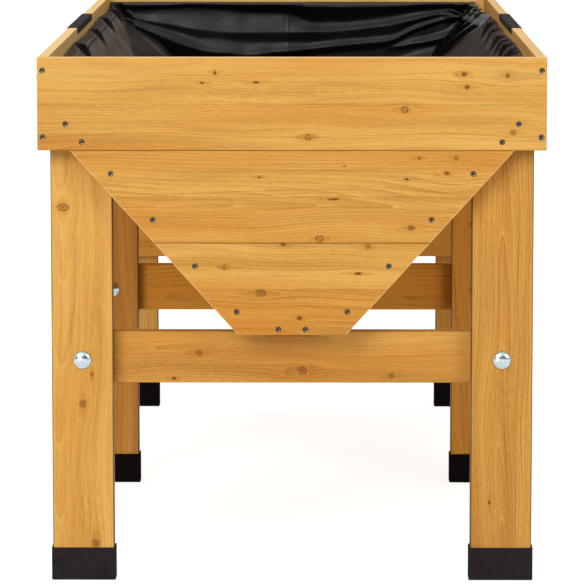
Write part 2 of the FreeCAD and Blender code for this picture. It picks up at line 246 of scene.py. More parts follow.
def make_knot_group():
    """One knot, which adds to the bend of the grain and to masks of its parts and surroundings."""
    inputs = ("Radius", "Length", "Ringed", *KNOT_OUT)
    group, add, given = new_group("knot_in_fir", ("Grain", "Place"), inputs, KNOT_OUT)
    away = add("VECTOR_SUBTRACT", given["Grain"], given["Place"])
    long_radius = add("MULTIPLY", given["Radius"], given["Length"])
    reach = add("CombineXYZ", long_radius, given["Radius"], 1e6)
    in_radii = add("VECTOR_DIVIDE", away, reach)
    distance = add("VECTOR_LENGTH", in_radii)
    wide = add("VECTOR_MULTIPLY", in_radii, SHADE_SHRINK)
    wide_distance = add("VECTOR_LENGTH", wide)

    # A ringed knot has a dark rim, broken here and there. The others are only a dark spot.
    broken = add("TexNoise", {"Vector": away, "Scale": BREAKS_PER_MM, "Detail": 1.0})
    broken = add("MapRange", broken, 0.38, 0.6, 0.25)
    ringed = add("MULTIPLY", broken, given["Ringed"])
    plain = add("SUBTRACT", 1.0, given["Ringed"])
    made = {}
    # Each mask is 1 on a ring of its own radius and fades over its own width, both in knot radii.
    for name, measure, ring, full, gone, share in (
        ("Heart", distance, 0.0, 0.7, 1.05, 1.0),
        ("Core", distance, 0.0, 0.05, 0.35, 1.0),
        ("Spot", distance, 0.0, 0.55, 1.05, plain),
        ("Rim", distance, 0.84, 0.06, 0.25, ringed),
        ("Halo", distance, 0.0, 0.9, 2.6, 1.0),
        ("Shade", wide_distance, 0.0, 0.1, 1.0, 1.0),
    ):
        off_ring = add("SUBTRACT", measure, ring)
        off_ring = add("ABSOLUTE", off_ring)
        mask = add("MapRange", off_ring, gone, full, 0.0, share, interpolation_type="SMOOTHSTEP")
        made[name] = add("MAXIMUM", mask, given[name])

    # The grain is pushed aside most beside the knot, and less further out.
    sideways = add("SeparateXYZ", in_radii).outputs["Y"]
    flat = add("VECTOR_MULTIPLY", in_radii, FLOW_SHRINK)
    squared = add("VECTOR_DOT_PRODUCT", flat, flat)
    fading = add("ADD", squared, 1.0)
    push = add("DIVIDE", sideways, fading)
    strength = add("MULTIPLY", given["Radius"], FLOW_STRENGTH)
    made["Bend"] = add("MULTIPLY_ADD", push, strength, given["Bend"])
    add("NodeGroupOutput", made)
    return group


knot_group = make_knot_group()
print("knot group nodes:", len(knot_group.nodes))

# %% Node group: grain without knots
# Widths across the grain and lengths along it. Fibres are really some 0.1 mm wide, and are drawn
# coarser to show.
BAND_MM, STREAK_MM, FIBRE_MM = (34.0, 760.0), (4.0, 200.0), (1.2, 11.0)
HAIRLINE_MM, SMUDGE_MM, SWAY_MM = (1.7, 380.0), (10.0, 180.0), (60.0, 520.0)
TONE_BASE, BAND_SHARE, STREAK_SHARE, FIBRE_SHARE = -0.21, 0.86, 0.24, 0.38
RING_MM = 3.8
# The middle of the tree, its pith, is neither parallel to the board nor straight.
PITH_LEAN, PITH_SWAY_MM = 0.03, 9.0
WAVE_PERIOD = math.pi / 10  # of Blender's wave texture at scale 1


def stretched_noise(add, place, size_mm, detail, fourth=None):
    """Patches of a width and length along the grain. A fourth coordinate makes new ones."""
    across, along = size_mm
    scaled = add("VECTOR_MULTIPLY", place, (1 / along, 1 / across, 1 / across))
    values = {"Vector": scaled, "Scale": 1.0, "Detail": detail}
    if fourth is None:
        return add("TexNoise", values)
    return add("TexNoise", values | {"W": fourth}, noise_dimensions="4D")


def make_grain_group():
    """Tone from 0 dark to 1 pale, smudges and relief of fir at a place in millimetres."""
    results = ("Tone", "Smudge", "Relief")
    group, add, given = new_group("fir_grain", ("Grain", "Pith", "Seed"), ("Rings",), results)
    moved = add("VECTOR_ADD", given["Grain"], given["Seed"])
    bands = stretched_noise(add, moved, BAND_MM, 2.0)
    streaks = stretched_noise(add, moved, STREAK_MM, 3.0)
    fibres = stretched_noise(add, moved, FIBRE_MM, 2.0)
    hairlines = stretched_noise(add, moved, HAIRLINE_MM, 0.0)
    smudges = stretched_noise(add, moved, SMUDGE_MM, 3.0)
    sway = stretched_noise(add, moved, SWAY_MM, 0.5)

    from_pith = add("VECTOR_SUBTRACT", given["Grain"], given["Pith"])
    place = add("SeparateXYZ", from_pith).outputs
    leaning = add("MULTIPLY_ADD", place["X"], PITH_LEAN, place["Z"])
    leaning = add("MULTIPLY_ADD", sway, PITH_SWAY_MM, leaning)
    log_section = add("CombineXYZ", 0.0, place["Y"], leaning)
    wave = {"Vector": log_section, "Scale": WAVE_PERIOD / RING_MM, "Distortion": 0.0}
    saw = {"wave_type": "RINGS", "rings_direction": "X", "wave_profile": "SAW"}
    rings = add("TexWave", wave, **saw).outputs["Fac"]
    # A ring darkens slowly towards its late wood and ends in a thin pale line.
    late_wood = add("POWER", rings, 2.0)
    pale_line = add("MapRange", rings, 0.16, 0.03)
    ring_tone = add("SUBTRACT", pale_line, late_wood)
    # Hairlines are darkest in the pale bands.
    hair_tone = add("MapRange", bands, 0.35, 0.62, -0.04, -0.24)
    hair_tone = add("MapRange", hairlines, 0.56, 0.74, 0.0, hair_tone)

    tone = TONE_BASE
    shares = BAND_SHARE, STREAK_SHARE, FIBRE_SHARE, 1.0, given["Rings"]
    for layer, share in zip((bands, streaks, fibres, hair_tone, ring_tone), shares):
        tone = add("MULTIPLY_ADD", layer, share, tone)
    smudge = add("MapRange", smudges, 0.5, 0.78, interpolation_type="SMOOTHSTEP")
    relief = add("MULTIPLY_ADD", fibres, 0.8, streaks)
    add("NodeGroupOutput", {"Tone": tone, "Smudge": smudge, "Relief": relief})
    return group


grain_group = make_grain_group()
print("grain group nodes:", len(grain_group.nodes))

# %% Which way the grain runs in each board
SLOPE = math.atan2(278, 251)
UP_SLOPE = Vector((math.cos(SLOPE), 0, math.sin(SLOPE)))
OFF_SLOPE = Vector((-math.sin(SLOPE), 0, math.cos(SLOPE)))
MIRROR = Matrix.Diagonal((-1, 1, 1))
X_AXIS, Y_AXIS, Z_AXIS = Vector((1, 0, 0)), Vector((0, 1, 0)), Vector((0, 0, 1))


def board_directions(name):
    """Directions along the grain, across the board's face and into its depth."""
    if "leg" in name:
        return Z_AXIS, X_AXIS, Y_AXIS
    if "long_rim" in name:
        return Y_AXIS, Z_AXIS, X_AXIS
    if "keel" in name:
        return Y_AXIS, X_AXIS, Z_AXIS
    if "side_board" in name:
        directions = (Y_AXIS, UP_SLOPE, OFF_SLOPE)
    elif "cleat" in name or "rib" in name:
        directions = (UP_SLOPE, OFF_SLOPE, Y_AXIS)
    else:
        return X_AXIS, Z_AXIS, Y_AXIS
    return [MIRROR @ d for d in directions] if "left" in name else directions


timber = sorted(
    name
    for name in nodes
    if name.endswith(("_board", "_leg", "_bar", "_cleat", "_rib")) or "_board_" in name
    if not name.endswith("screws")
)
print("timber pieces:", len(timber))

# %% [markdown]
# ### What sets each board apart
# The photographed end has its own knots, given as (across the bed, height, radius, length,
# ringed): a length over 1 is an oval or a streak of pitch, and ringed says how much of a dark rim
# it has. Boards that show have a look of their own too. The other boards get theirs from a seeded
# draw, so that no two are alike and every run gives the same ones.

# %% Knots and looks of the boards that show
# Tone is how pale a board is, rings is how strongly its growth rings show, soak is the
# least and the most of the orange layer, and pith is where the middle of the tree lay: along,
# across and into the board. On most boards the orange is stain that soaked in. On the middle and
# rear frames tone and orange are painted shade.
BOARD_LOOKS = {
    "front_left_leg": {"tone": 0.14, "rings": 0.07, "soak": (0.0, 0.5)},
    "front_right_leg": {
        "tone": -0.14, "rings": 0.11, "soak": (0.0, 0.05), "pith": (-330.0, 22.0, -21.0),
    },
    "front_bar": {"tone": -0.05, "rings": 0.12, "soak": (0.05, 0.5), "pith": (300.0, 30.0, -14.0)},
    "front_rim_board": {"tone": 0.05},
    "front_panel_board_1": {"tone": 0.0, "rings": 0.13, "pith": (-420.0, 6.0, -4.0)},
    "front_panel_board_2": {"tone": -0.06},
    # The middle and rear frames stand in shade under the trough. Their tones, and the high soak of
    # most of them, are painted shade: a deep orange for the shade and the warm bounce light.
    "middle_bar": {"tone": 0.14, "rings": 0.16, "soak": (0.85, 1.0)},
    "middle_left_leg": {"tone": -0.32, "rings": 0.18, "soak": (0.1, 0.6)},
    "middle_right_leg": {"tone": 0.3, "soak": (0.7, 1.0)},
    "rear_bar": {"tone": 0.34, "soak": (0.8, 1.0)},
    # Painted light: the rear rim and the left rim boards are paler, with less orange, for the light
    # on their inner faces in the trough.
    "rear_rim_board": {"tone": 0.7, "soak": (0.0, 0.2)},
    "left_front_long_rim_board": {"tone": 0.35, "soak": (0.0, 0.3)},
    "left_rear_long_rim_board": {"tone": 0.35, "soak": (0.0, 0.3)},
}
FRONT_KNOTS_MM = {
    "front_rim_board": [
        (24, 681, 4.6, 1.1, 1.0), (168, 722, 5.2, 1.0, 1.0), (256, 775, 4.4, 1.1, 0.2),
        (261, 756, 4.0, 1.1, 0.2), (321, 773, 4.6, 0.8, 0.3), (330, 688, 3.8, 1.1, 0.8),
        (-134, 762, 2.0, 2.2, 0.0), (-54, 763, 2.0, 3.0, 0.0), (-115, 777, 3.4, 0.8, 0.0),
    ],
    "front_panel_board_1": [
        (-49, 621, 1.9, 1.4, 0.0), (190, 650, 2.8, 1.0, 0.3), (245, 650, 4.2, 0.8, 0.7),
        (231, 627, 3.8, 1.3, 0.2), (171, 618, 2.4, 1.5, 0.0), (78, 638, 1.7, 1.2, 0.0),
        (62, 588, 2.1, 5.0, 0.0), (178, 545, 4.6, 1.3, 0.4), (41, 528, 5.2, 1.1, 1.0),
    ],
    "front_panel_board_2": [
        (-13, 520, 3.6, 1.2, 0.2), (-101, 486, 3.8, 0.7, 0.9), (-47, 447, 6.0, 1.4, 0.55),
        (11, 409, 4.4, 1.1, 0.1), (114, 517, 4.2, 0.8, 0.7), (99, 476, 2.4, 2.6, 0.0),
    ],
    "front_bar": [
        (-142, 345, 5.0, 1.1, 0.6), (-180, 306, 3.0, 1.2, 0.1), (15, 318, 7.4, 1.1, 0.55),
        (151, 310, 4.8, 1.1, 0.7),
    ],
    "front_left_leg": [
        (-345, 571, 9.6, 0.62, 0.75), (-303, 316, 3.4, 1.2, 0.5), (-317, 272, 5.6, 1.1, 0.6),
        (-299, 57, 6.0, 1.0, 0.6),
    ],
    "front_right_leg": [(300, 120, 2.4, 1.8, 0.2)],
}
print("knots set by hand:", sum(len(knots) for knots in FRONT_KNOTS_MM.values()))

# %% One board's own numbers
FIRST_SEED = 4100
STRIP_MM = 69.5  # a board much wider than this is glued from two strips
LONG_BOARD_MM = 300


def place_of_knot(knot, board):
    """Where a knot, given across the bed and by height, lies in the board's own directions."""
    across_bed, height, *shape = knot
    offset = Vector((across_bed, board.centre.y, height)) - board.centre
    return offset.dot(board.directions[0]), offset.dot(board.directions[1]), *shape


def drawn_knots(draw, size):
    """A few knots at places drawn within the board."""
    count = draw.randint(2, 5) if size[0] > LONG_BOARD_MM else draw.randint(0, 2)
    return [
        (
            draw.uniform(-0.48, 0.48) * size[0],
            draw.uniform(-0.42, 0.42) * size[1],
            draw.uniform(1.8, 5.2),
            draw.choice([0.9, 1.1, 1.3, 1.6, 2.6]),
            draw.choice([0.0, 0.2, 0.6, 1.0]),
        )
        for _ in range(count)
    ]


def drawn_board(name, number):
    """What sets a board apart: its place and size in millimetres, its look, and what is drawn."""
    draw = random.Random(FIRST_SEED + number)
    look = BOARD_LOOKS.get(name, {})
    board = SimpleNamespace(name=name, number=number, directions=board_directions(name))
    spans = [[v.co.dot(d) / MM for v in nodes[name].data.vertices] for d in board.directions]
    middles = [(max(span) + min(span)) / 2 for span in spans]
    board.centre = sum((middle * d for middle, d in zip(middles, board.directions)), Vector())
    board.size = [max(span) - min(span) for span in spans]
    # The draws keep this order, so that every run gives the same boards.
    if name in FRONT_KNOTS_MM:
        board.knots = [place_of_knot(knot, board) for knot in FRONT_KNOTS_MM[name]]
    else:
        board.knots = drawn_knots(draw, board.size)
    board.tone = look.get("tone", draw.uniform(-0.05, 0.05))
    board.glued = board.size[1] > 1.5 * STRIP_MM
    if board.glued:
        board.strip_depth, board.strip_tone = draw.uniform(31, 57), draw.choice([-0.06, 0.06])
    along, across = draw.uniform(-0.2, 0.2) * board.size[0], draw.uniform(-0.5, 0.5) * board.size[1]
    depth = draw.choice([-1, 1]) * draw.uniform(20, 70)
    board.pith = look.get("pith", (along, across, depth))
    board.seed = draw.uniform(0, 9000), draw.uniform(0, 900), draw.uniform(0, 900)
    board.rings = look.get("rings", draw.uniform(0.06, 0.12))
    board.soak = look.get("soak", (0.0, 0.75))
    return board


boards = [drawn_board(name, number) for number, name in enumerate(timber)]
print("boards glued from strips:", sum(board.glued for board in boards))

# %% The grain of one board
WAVERS_PER_MM, WAVER_MM = 0.16, 2.6  # knots and glue lines are never quite regular
WANDER_MM, WANDER_BY_MM = (90.0, 340.0), 40.0  # nor does the grain run straight
SEAM_OPENS_MM = 110
SHADE_TONE = -0.22


def board_axes(add, board):
    """Millimetres along, across and into a board from its centre, and a wavering face point."""
    here = add("TexCoord").outputs["Object"]
    from_centre = add("VECTOR_SUBTRACT", here, board.centre * MM)
    axes = [add("VECTOR_DOT_PRODUCT", from_centre, d / MM) for d in board.directions]
    face = add("CombineXYZ", axes[0], axes[1], 0.0)
    waver = {"Vector": face, "Scale": WAVERS_PER_MM, "Detail": 1.0}
    waver = add("TexNoise", waver).outputs["Color"]
    waver = add("VECTOR_SUBTRACT", waver, (0.5, 0.5, 0.5))
    return axes, add("VECTOR_MULTIPLY_ADD", waver, (WAVER_MM, WAVER_MM, 0), face)


def knot_masks(add, face, knots):
    """How far all the knots bend the grain, and where their parts are."""
    masks = dict.fromkeys(KNOT_OUT, 0.0)
    for along, across, radius, length, ringed in knots:
        place = {"Grain": face, "Place": (along, across, 0)}
        shape = {"Radius": radius, "Length": length, "Ringed": ringed}
        knot = add("Group", place | shape | masks, node_tree=knot_group)
        masks = {name: knot.outputs[name] for name in KNOT_OUT}
    return masks


def glued_strips(add, axes, board):
    """Depth and tone of a board's two strips, and the glue line between, which comes and goes."""
    if not board.glued:
        return axes[2], board.tone, 0.0
    upper = add("GREATER_THAN", axes[1], 0.0)
    depth = add("MULTIPLY_ADD", upper, board.strip_depth, axes[2])
    tone = add("MULTIPLY_ADD", upper, board.strip_tone, board.tone)
    opens = {"W": axes[0], "Scale": 1 / SEAM_OPENS_MM, "Detail": 1.0}
    opens = add("MapRange", add("TexNoise", opens, noise_dimensions="1D"), 0.46, 0.62, 0.06, 0.6)
    off_seam = add("ABSOLUTE", axes[1])
    return depth, tone, add("MapRange", off_seam, 0.8, 0.2, 0.0, opens)


def board_grain(add, axes, bent, depth, board):
    """The grain group, set up for a board."""
    place = add("CombineXYZ", axes[0], bent, depth)
    values = {"Grain": place, "Pith": board.pith, "Seed": board.seed, "Rings": board.rings}
    return add("Group", values, node_tree=grain_group).outputs


print("knots in all:", sum(len(board.knots) for board in boards))

# %% Painted highlights on edges, painted shade in joints, and end grain
SHOULDER_MM = (332, 661)  # a point on the slanted edge of the end panels: across and height
# A painted highlight along the slanted edges of the panel and the top edges of the rim: width and
# strength.
HIGHLIGHT_MM, HIGHLIGHT_MOST = 1.9, 0.45
# Painted shade: dark lines in the joints between parts and along the long edges of the legs.
OPEN_JOINT_SHADE, TIGHT_JOINT_SHADE = (2.2, 0.8), (1.4, 0.5)  # width in millimetres, and strength
EDGE_MM = 0.5


def edge_marks(add, axes, board):
    """Where a board's edges get a painted highlight, and painted shade in its joints. 0 is nowhere.
    """
    on_frame = board.name.endswith(("_leg", "_bar"))
    on_panel, on_rim = "panel_board" in board.name, "rim_board" in board.name
    if not (on_frame or on_panel or on_rim):
        return 0.0, 0.0
    half_long, half_wide = board.size[0] / 2, board.size[1] / 2
    to_top = add("SUBTRACT", half_wide, axes[1])
    to_bottom = add("ADD", half_wide, axes[1])
    to_either = add("MINIMUM", to_top, to_bottom)
    outward = add("ABSOLUTE", axes[0])
    highlit_edge, joint_shade_edge = to_top, to_bottom
    if on_panel:
        shift = -OFF_SLOPE.x * SHOULDER_MM[0] + OFF_SLOPE.z * (board.centre.z - SHOULDER_MM[1])
        slanted = add("MULTIPLY_ADD", outward, OFF_SLOPE.x, shift)
        highlit_edge = add("MULTIPLY_ADD", axes[1], OFF_SLOPE.z, slanted)
        joint_shade_edge = to_either if board.name.endswith("_1") else to_top
    elif board.name.endswith("_leg"):
        joint_shade_edge = to_either
    elif board.name.endswith("_bar"):
        joint_shade_edge = add("SUBTRACT", half_long, outward)
    edge_highlight = joint_shade = 0.0
    # A painted highlight on the edges of the boards, not on the frame.
    if not on_frame:
        edge_highlight = add("MapRange", highlit_edge, HIGHLIGHT_MM, EDGE_MM, 0.0, HIGHLIGHT_MOST)
    # Painted shade in the joints, not on the long rim boards.
    if "long_rim" not in board.name:
        width, strength = OPEN_JOINT_SHADE if on_frame else TIGHT_JOINT_SHADE
        joint_shade = add("MapRange", joint_shade_edge, width, EDGE_MM, 0.0, strength)
    return edge_highlight, joint_shade


def end_grain_mask(add, board):
    """End grain drinks more stain than the faces."""
    normal = add("NewGeometry").outputs["True Normal"]
    facing = add("VECTOR_DOT_PRODUCT", normal, board.directions[0])
    facing = add("ABSOLUTE", facing)
    return add("MapRange", facing, 0.8, 0.98, 0.0, 0.4)


print("joints in mm: open", OPEN_JOINT_SHADE[0], "tight", TIGHT_JOINT_SHADE[0])

# %% [markdown]
# ### The fir material
# The tone of the grain picks a colour from a ramp of stain, from brown to pale honey. Then layers
# of colour go over it, one after the other: orange where the stain soaked in, brown late wood,
# olive-grey where the fibres are coarse, a painted highlight along some edges, the parts of the
# knots with a warm halo round them, glue lines, painted shade in the joints, and end grain. On the
# boards in the shade under the trough the orange and the late wood are much deeper: painted shade,
# with the warm bounce light between the boards. The surface is satin, and the fibres stand up a
# little, so roughness and bump come from the same relief.

# %% Fir, planed and dipped in stain
STAIN = (
    (0.1, "#b0722a"), (0.36, "#d0933f"), (0.55, "#e0a64e"), (0.74, "#eab660"), (0.95, "#efc172"),
)
SOAK_AND_SHADE_MM = (60.0, 480.0)
# Above this least soak a board is in painted shade: its orange and late wood are deeper.
SHADED_SOAK = 0.4  # boards that took more than this are the dark orange ones
SATIN = (0.66, 0.5)  # roughness in the hollows and on the fibres


def stained_fir(board):
    """Planed softwood under a thin stain: satin, warm, and a little rough along the grain."""
    material, add = new_material(f"stained_fir_{board.name}")
    axes, face = board_axes(add, board)
    masks = knot_masks(add, face, board.knots)
    wander = stretched_noise(add, face, WANDER_MM, 1.0, 2.3 * board.number)
    wander = add("MULTIPLY_ADD", wander, WANDER_BY_MM, axes[1])
    bent = add("SUBTRACT", wander, masks["Bend"])
    depth, strip_tone, seam = glued_strips(add, axes, board)
    grain = board_grain(add, axes, bent, depth, board)
    tone = add("ADD", grain["Tone"], strip_tone)
    tone = add("MULTIPLY_ADD", masks["Shade"], SHADE_TONE, tone)
    colour = add("ValToRGB", tone, stops=STAIN)

    least, most = board.soak
    in_painted_shade = least > SHADED_SOAK
    soaked = add("CombineXYZ", axes[0], bent, 0.0)
    soaked = stretched_noise(add, soaked, SOAK_AND_SHADE_MM, 3.0, 1.7 * board.number)
    soaked = add("MapRange", soaked, 0.44, 0.72, least, most)
    late_wood = add("MapRange", grain["Tone"], 0.45, 0.12)
    edge_highlight, joint_shade = edge_marks(add, axes, board)
    # Each layer is laid over the last: (where, how strongly, which colour).
    for where, strength, layer in (
        # On a board in painted shade the orange and the late wood are deeper, as painted shade with
        # the warm bounce light under the trough.
        (soaked, 0.9, "#e08d18") if in_painted_shade else (soaked, 0.8, "#d0801f"),
        (late_wood, 0.8, "#7d430c") if in_painted_shade else (late_wood, 0.16, "#9a5a1a"),
        (grain["Smudge"], 0.38, "#ad8544"),
        # The pale line along edges is a painted highlight.
        (edge_highlight, 1.0, "#f3d08c"),
        (masks["Halo"], 0.3, "#d69630"),
        (masks["Heart"], 0.45, "#b97730"),
        (masks["Core"], 0.6, "#4a2a10"),
        (masks["Spot"], 0.85, "#643710"),
        (masks["Rim"], 1.0, "#46290c"),
        (seam, 1.0, "#8a5a24"),
        # The dark lines at the joints are painted shade.
        (joint_shade, 1.0, "#4c2b0f"),
        (end_grain_mask(add, board), 1.0, "#a96d2c"),
    ):
        if where != 0.0:
            amount = add("MULTIPLY", where, strength)
            colour = add("Mix", {"Factor": amount, 6: colour, 7: layer}, data_type="RGBA")

    rough = add("MapRange", grain["Relief"], 0.0, 1.8, *SATIN)
    bump = add("Bump", {"Height": grain["Relief"], "Strength": 0.3, "Distance": 0.3 * MM})
    skin = {"Base Color": colour, "Roughness": rough, "Normal": bump}
    skin |= {"IOR": 1.5, "Specular IOR Level": 0.2}
    add("OutputMaterial", add("BsdfPrincipled", skin))
    return material


for board in boards:
    dress(nodes[board.name], stained_fir(board))
print("fir boards dressed:", len(boards))

# %% [markdown]
# ## Moulded polypropylene
# The feet stand in black caps, and two black clips bridge the joints in the long rim. Both are
# injection-moulded: a fine spark-eroded texture on the mould gives them a soft, broken gloss, and
# handling leaves faint grey scuffs. The construction already has their rounded shapes, so they
# only need the finish. The caps of the middle and rear frames get a blacker copy of it, which is
# painted shade for the shade under the trough.

# %% Caps and clips
GRAIN_OF_MOULD_MM = 1.4  # really about 0.3 mm; drawn coarser so that it shows
SCUFF_MM = 45.0


def moulded_polypropylene(name, dark, pale):
    """Injection-moulded and grained: nearly matt black, with scuffs that are paler and duller."""
    material, add = new_material(name)
    place = add("TexCoord").outputs["Object"]
    grit = add("TexNoise", {"Vector": place, "Scale": 1 / (GRAIN_OF_MOULD_MM * MM), "Detail": 2.0})
    scuffs = {"Vector": place, "Scale": 1 / (SCUFF_MM * MM), "Detail": 5.0, "Roughness": 0.7}
    scuffs = add("TexNoise", scuffs)
    tint = add("ValToRGB", scuffs, stops=((0.35, dark), (0.75, pale)))
    gloss = add("MapRange", scuffs, 0.0, 1.0, 0.8, 0.95)
    bump = add("Bump", {"Height": grit, "Strength": 0.2, "Distance": 0.15 * MM})
    skin = {"Base Color": tint, "Roughness": gloss, "Normal": bump}
    skin |= {"IOR": 1.49, "Specular IOR Level": 0.06}
    add("OutputMaterial", add("BsdfPrincipled", skin))
    return material


moulded_plain = moulded_polypropylene("moulded_polypropylene_plain", "#262121", "#322d2d")
# A blacker copy: painted shade for the caps in the shade under the trough.
moulded_painted_shade = moulded_polypropylene("moulded_polypropylene_painted_shade", "#0a0706", "#140f0d")
moulded_pieces = [name for name in nodes if name.endswith(("foot_cap", "rim_clip"))]
for name in moulded_pieces:
    # The caps of the middle and rear frames get the blacker copy, which is painted shade.
    dress(nodes[name], moulded_painted_shade if name.startswith(("middle", "rear")) else moulded_plain)
print("moulded pieces:", moulded_pieces)

# %% [markdown]
# ## Zinc-plated fasteners
# Coach bolts clamp the bars to the legs and countersunk screws hold the boards. They are steel,
# cold-headed and barrel-plated with zinc, which leaves a bright grey, slightly cloudy skin. The
# outer ring of each screw head and the inside of its cross are painted near black: painted shade in
# the countersink and in the recess. Each fastener is turned round its own axis from a profile, with
# a real helix for the thread and a real cross in the screw heads, and copied to every place where
# the construction has one.

# %% Zinc plating
CLOUD_MM = 3.0


def zinc_plated(name, dark, bright, rough, metallic=1.0, specular=0.5):
    """Barrel-plated zinc on steel: cloudy grey metal, brighter where it was worn."""
    material, add = new_material(name)
    place = add("TexCoord").outputs["Object"]
    cloud = add("TexNoise", {"Vector": place, "Scale": 1 / (CLOUD_MM * MM), "Detail": 3.0})
    tint = add("ValToRGB", cloud, stops=((0.3, dark), (0.7, bright)))
    gloss = add("MapRange", cloud, 0.3, 0.7, rough + 0.08, rough - 0.06)
    skin = {"Base Color": tint, "Roughness": gloss}
    skin |= {"Metallic": metallic, "Specular IOR Level": specular}
    add("OutputMaterial", add("BsdfPrincipled", skin))
    return material


bright_zinc = zinc_plated("bright_zinc_plated_steel", "#adbac1", "#c0ccd2", 0.16)
grey_zinc = zinc_plated("grey_zinc_plated_steel", "#4c443a", "#877c6d", 0.28)
# Near-black zinc: painted shade for the outer ring of each screw head and the inside of its cross.
shaded_zinc = zinc_plated("zinc_plated_steel_painted_shade", "#0c0806", "#1e150d", 0.6, 0.1, 0.1)
print("zinc finishes:", bright_zinc.name, grey_zinc.name, shaded_zinc.name)


# %% Turning and threads
def round_z(radius, angle, height):
    """A point at a radius and an angle round the Z axis."""
    return radius * math.cos(angle), radius * math.sin(angle), height


def turned(work, profile, sides):
    """Revolves a profile of (radius, height) round the Z axis. A radius of 0 is a point."""
    rings = []
    for radius, height in profile:
        angles = [2 * math.pi * k / sides for k in range(sides if radius else 1)]
        rings.append([work.verts.new(round_z(radius, angle, height)) for angle in angles])
    for lower, upper in zip(rings, rings[1:]):
        for k in range(sides):
            steps = (lower, k), (lower, k + 1), (upper, k + 1), (upper, k)
            corners = [ring[step % len(ring)] for ring, step in steps]
            work.faces.new(list(dict.fromkeys(corners)))
    return rings


def thread(work, root, crest, pitch, bottom, top, sides, taper=0.0):
    """Helix of a screw thread between two heights, thin at the bottom over a taper."""
    steps = 2 * int((top - bottom) / pitch)
    columns = []
    for k in range(sides):
        column = []
        for step in range(steps):
            height = bottom + (step + 2 * k / sides) * pitch / 2
            slim = min(1.0, 0.25 + (height - bottom) / taper) if taper else 1.0
            radius = (crest if step % 2 else root) * slim
            column.append(work.verts.new(round_z(radius, 2 * math.pi * k / sides, height)))
        columns.append(column)
    # After one turn the helix is one pitch, which is two steps, higher.
    for k, column in enumerate(columns):
        beside = columns[k + 1] if k < sides - 1 else columns[0][2:]
        for step in range(min(steps, len(beside)) - 1):
            work.faces.new([column[step], beside[step], beside[step + 1], column[step + 1]])


print("turning tools ready")


# %% Copies that stand for the construction's fasteners
def copied(work, places, name):
    """One mesh with copies of the work at places of (point, direction of its +Z axis, turn)."""
    template = bpy.data.meshes.new(name + "_template")
    work.to_mesh(template)
    work.free()
    whole = bmesh.new()
    for point, direction, turn in places:
        first = len(whole.verts)
        whole.from_mesh(template)
        whole.verts.ensure_lookup_table()
        turned_to = Vector(direction).to_track_quat("Z", "Y").to_matrix().to_4x4()
        matrix = Matrix.Translation(Vector(point)) @ turned_to @ Matrix.Rotation(turn, 4, "Z")
        bmesh.ops.transform(whole, matrix=matrix, verts=whole.verts[first:])
    bpy.data.meshes.remove(template)
    mesh = bpy.data.meshes.new(name)
    whole.to_mesh(mesh)
    whole.free()
    for polygon in mesh.polygons:
        polygon.use_smooth = True
    return put(name, mesh)


def stands_for(piece, node, material, sharp_degrees=35):
    """Dresses a piece that replaces a node of the construction and rides where it does."""
    dress(piece, material)
    piece.data.set_sharp_from_angle(angle=math.radians(sharp_degrees))
    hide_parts(node)
    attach(piece, "root")


BOLT_X, BOLT_Z = 317.5 * MM, 338.5 * MM
BOLT_HEADS = ((-856 * MM, -1), (-16 * MM, -1), (856 * MM, 1))  # along the bed, and facing
FIRST_TURN, NEXT_TURN = 0.4, 0.7  # radians, so that no two nuts stand alike
bolt_heads = [(x, *head) for x in (-BOLT_X, BOLT_X) for head in BOLT_HEADS]
bolt_places = [
    ((x, y, BOLT_Z), (0, facing, 0), FIRST_TURN + NEXT_TURN * k)
    for k, (x, y, facing) in enumerate(bolt_heads)
]
print("bolt sets:", len(bolt_places))

# %% Coach bolts
BOLT_LENGTH, THREAD_LENGTH, THREAD_PITCH = 74 * MM, 20 * MM, 1.5 * MM
SHANK, THREAD_ROOT, THREAD_BEGINS = 5 * MM, 4.3 * MM, 0.6 * MM
POINT_MM = ((0, 0), (4.0, 0), (4.4, 0.9), (4.3, 3))  # radius, and height above the bolt's end
DOME_RADIUS, DOME_HEIGHT, DOME_EDGE, DOME_LIP = 14 * MM, 6 * MM, 1.0 * MM, 0.4 * MM
DOME_STEPS, DOME_FULLNESS = 12, 0.9
BOLT_SIDES, THREAD_SIDES = 48, 32

work = bmesh.new()
thread_top = -BOLT_LENGTH + THREAD_LENGTH
profile = [(SHANK, thread_top), (SHANK, 0), (DOME_RADIUS - DOME_LIP, 0), (DOME_RADIUS, DOME_LIP)]
for step in range(DOME_STEPS):
    angle = math.pi / 2 * step / DOME_STEPS
    height = DOME_EDGE + (DOME_HEIGHT - DOME_EDGE) * math.sin(angle)
    profile.append((DOME_RADIUS * math.cos(angle) ** DOME_FULLNESS, height))
turned(work, [*profile, (0, DOME_HEIGHT)], BOLT_SIDES)
thread_bottom = -BOLT_LENGTH + THREAD_BEGINS
thread(work, THREAD_ROOT, SHANK, THREAD_PITCH, thread_bottom, thread_top, THREAD_SIDES)
point = [(radius * MM, -BOLT_LENGTH + height * MM) for radius, height in POINT_MM]
turned(work, point, THREAD_SIDES)
bolts = copied(work, bolt_places, "coach_bolts")
stands_for(bolts, "carriage_bolts", bright_zinc)
print("faces of the bolts:", len(bolts.data.polygons))

# %% Washers and nuts
BOLT_GRIP = 60 * MM
WASHER_OUT, WASHER_IN, WASHER_THICK, WASHER_EDGE = 10 * MM, 5.3 * MM, 2 * MM, 0.35 * MM
NUT_FLATS, NUT_HEIGHT, NUT_BORE, NUT_LEAD_IN = 17 * MM, 8 * MM, 5.02 * MM, 0.6 * MM
NUT_STEPS = 72


def chamfered(inner, outer, thick, edge):
    """Section of a plate ring with chamfered edges, as (radius, height)."""
    return [
        (inner, edge), (inner + edge, 0), (outer - edge, 0), (outer, edge),
        (outer, thick - edge), (outer - edge, thick), (inner + edge, thick), (inner, thick - edge),
    ]


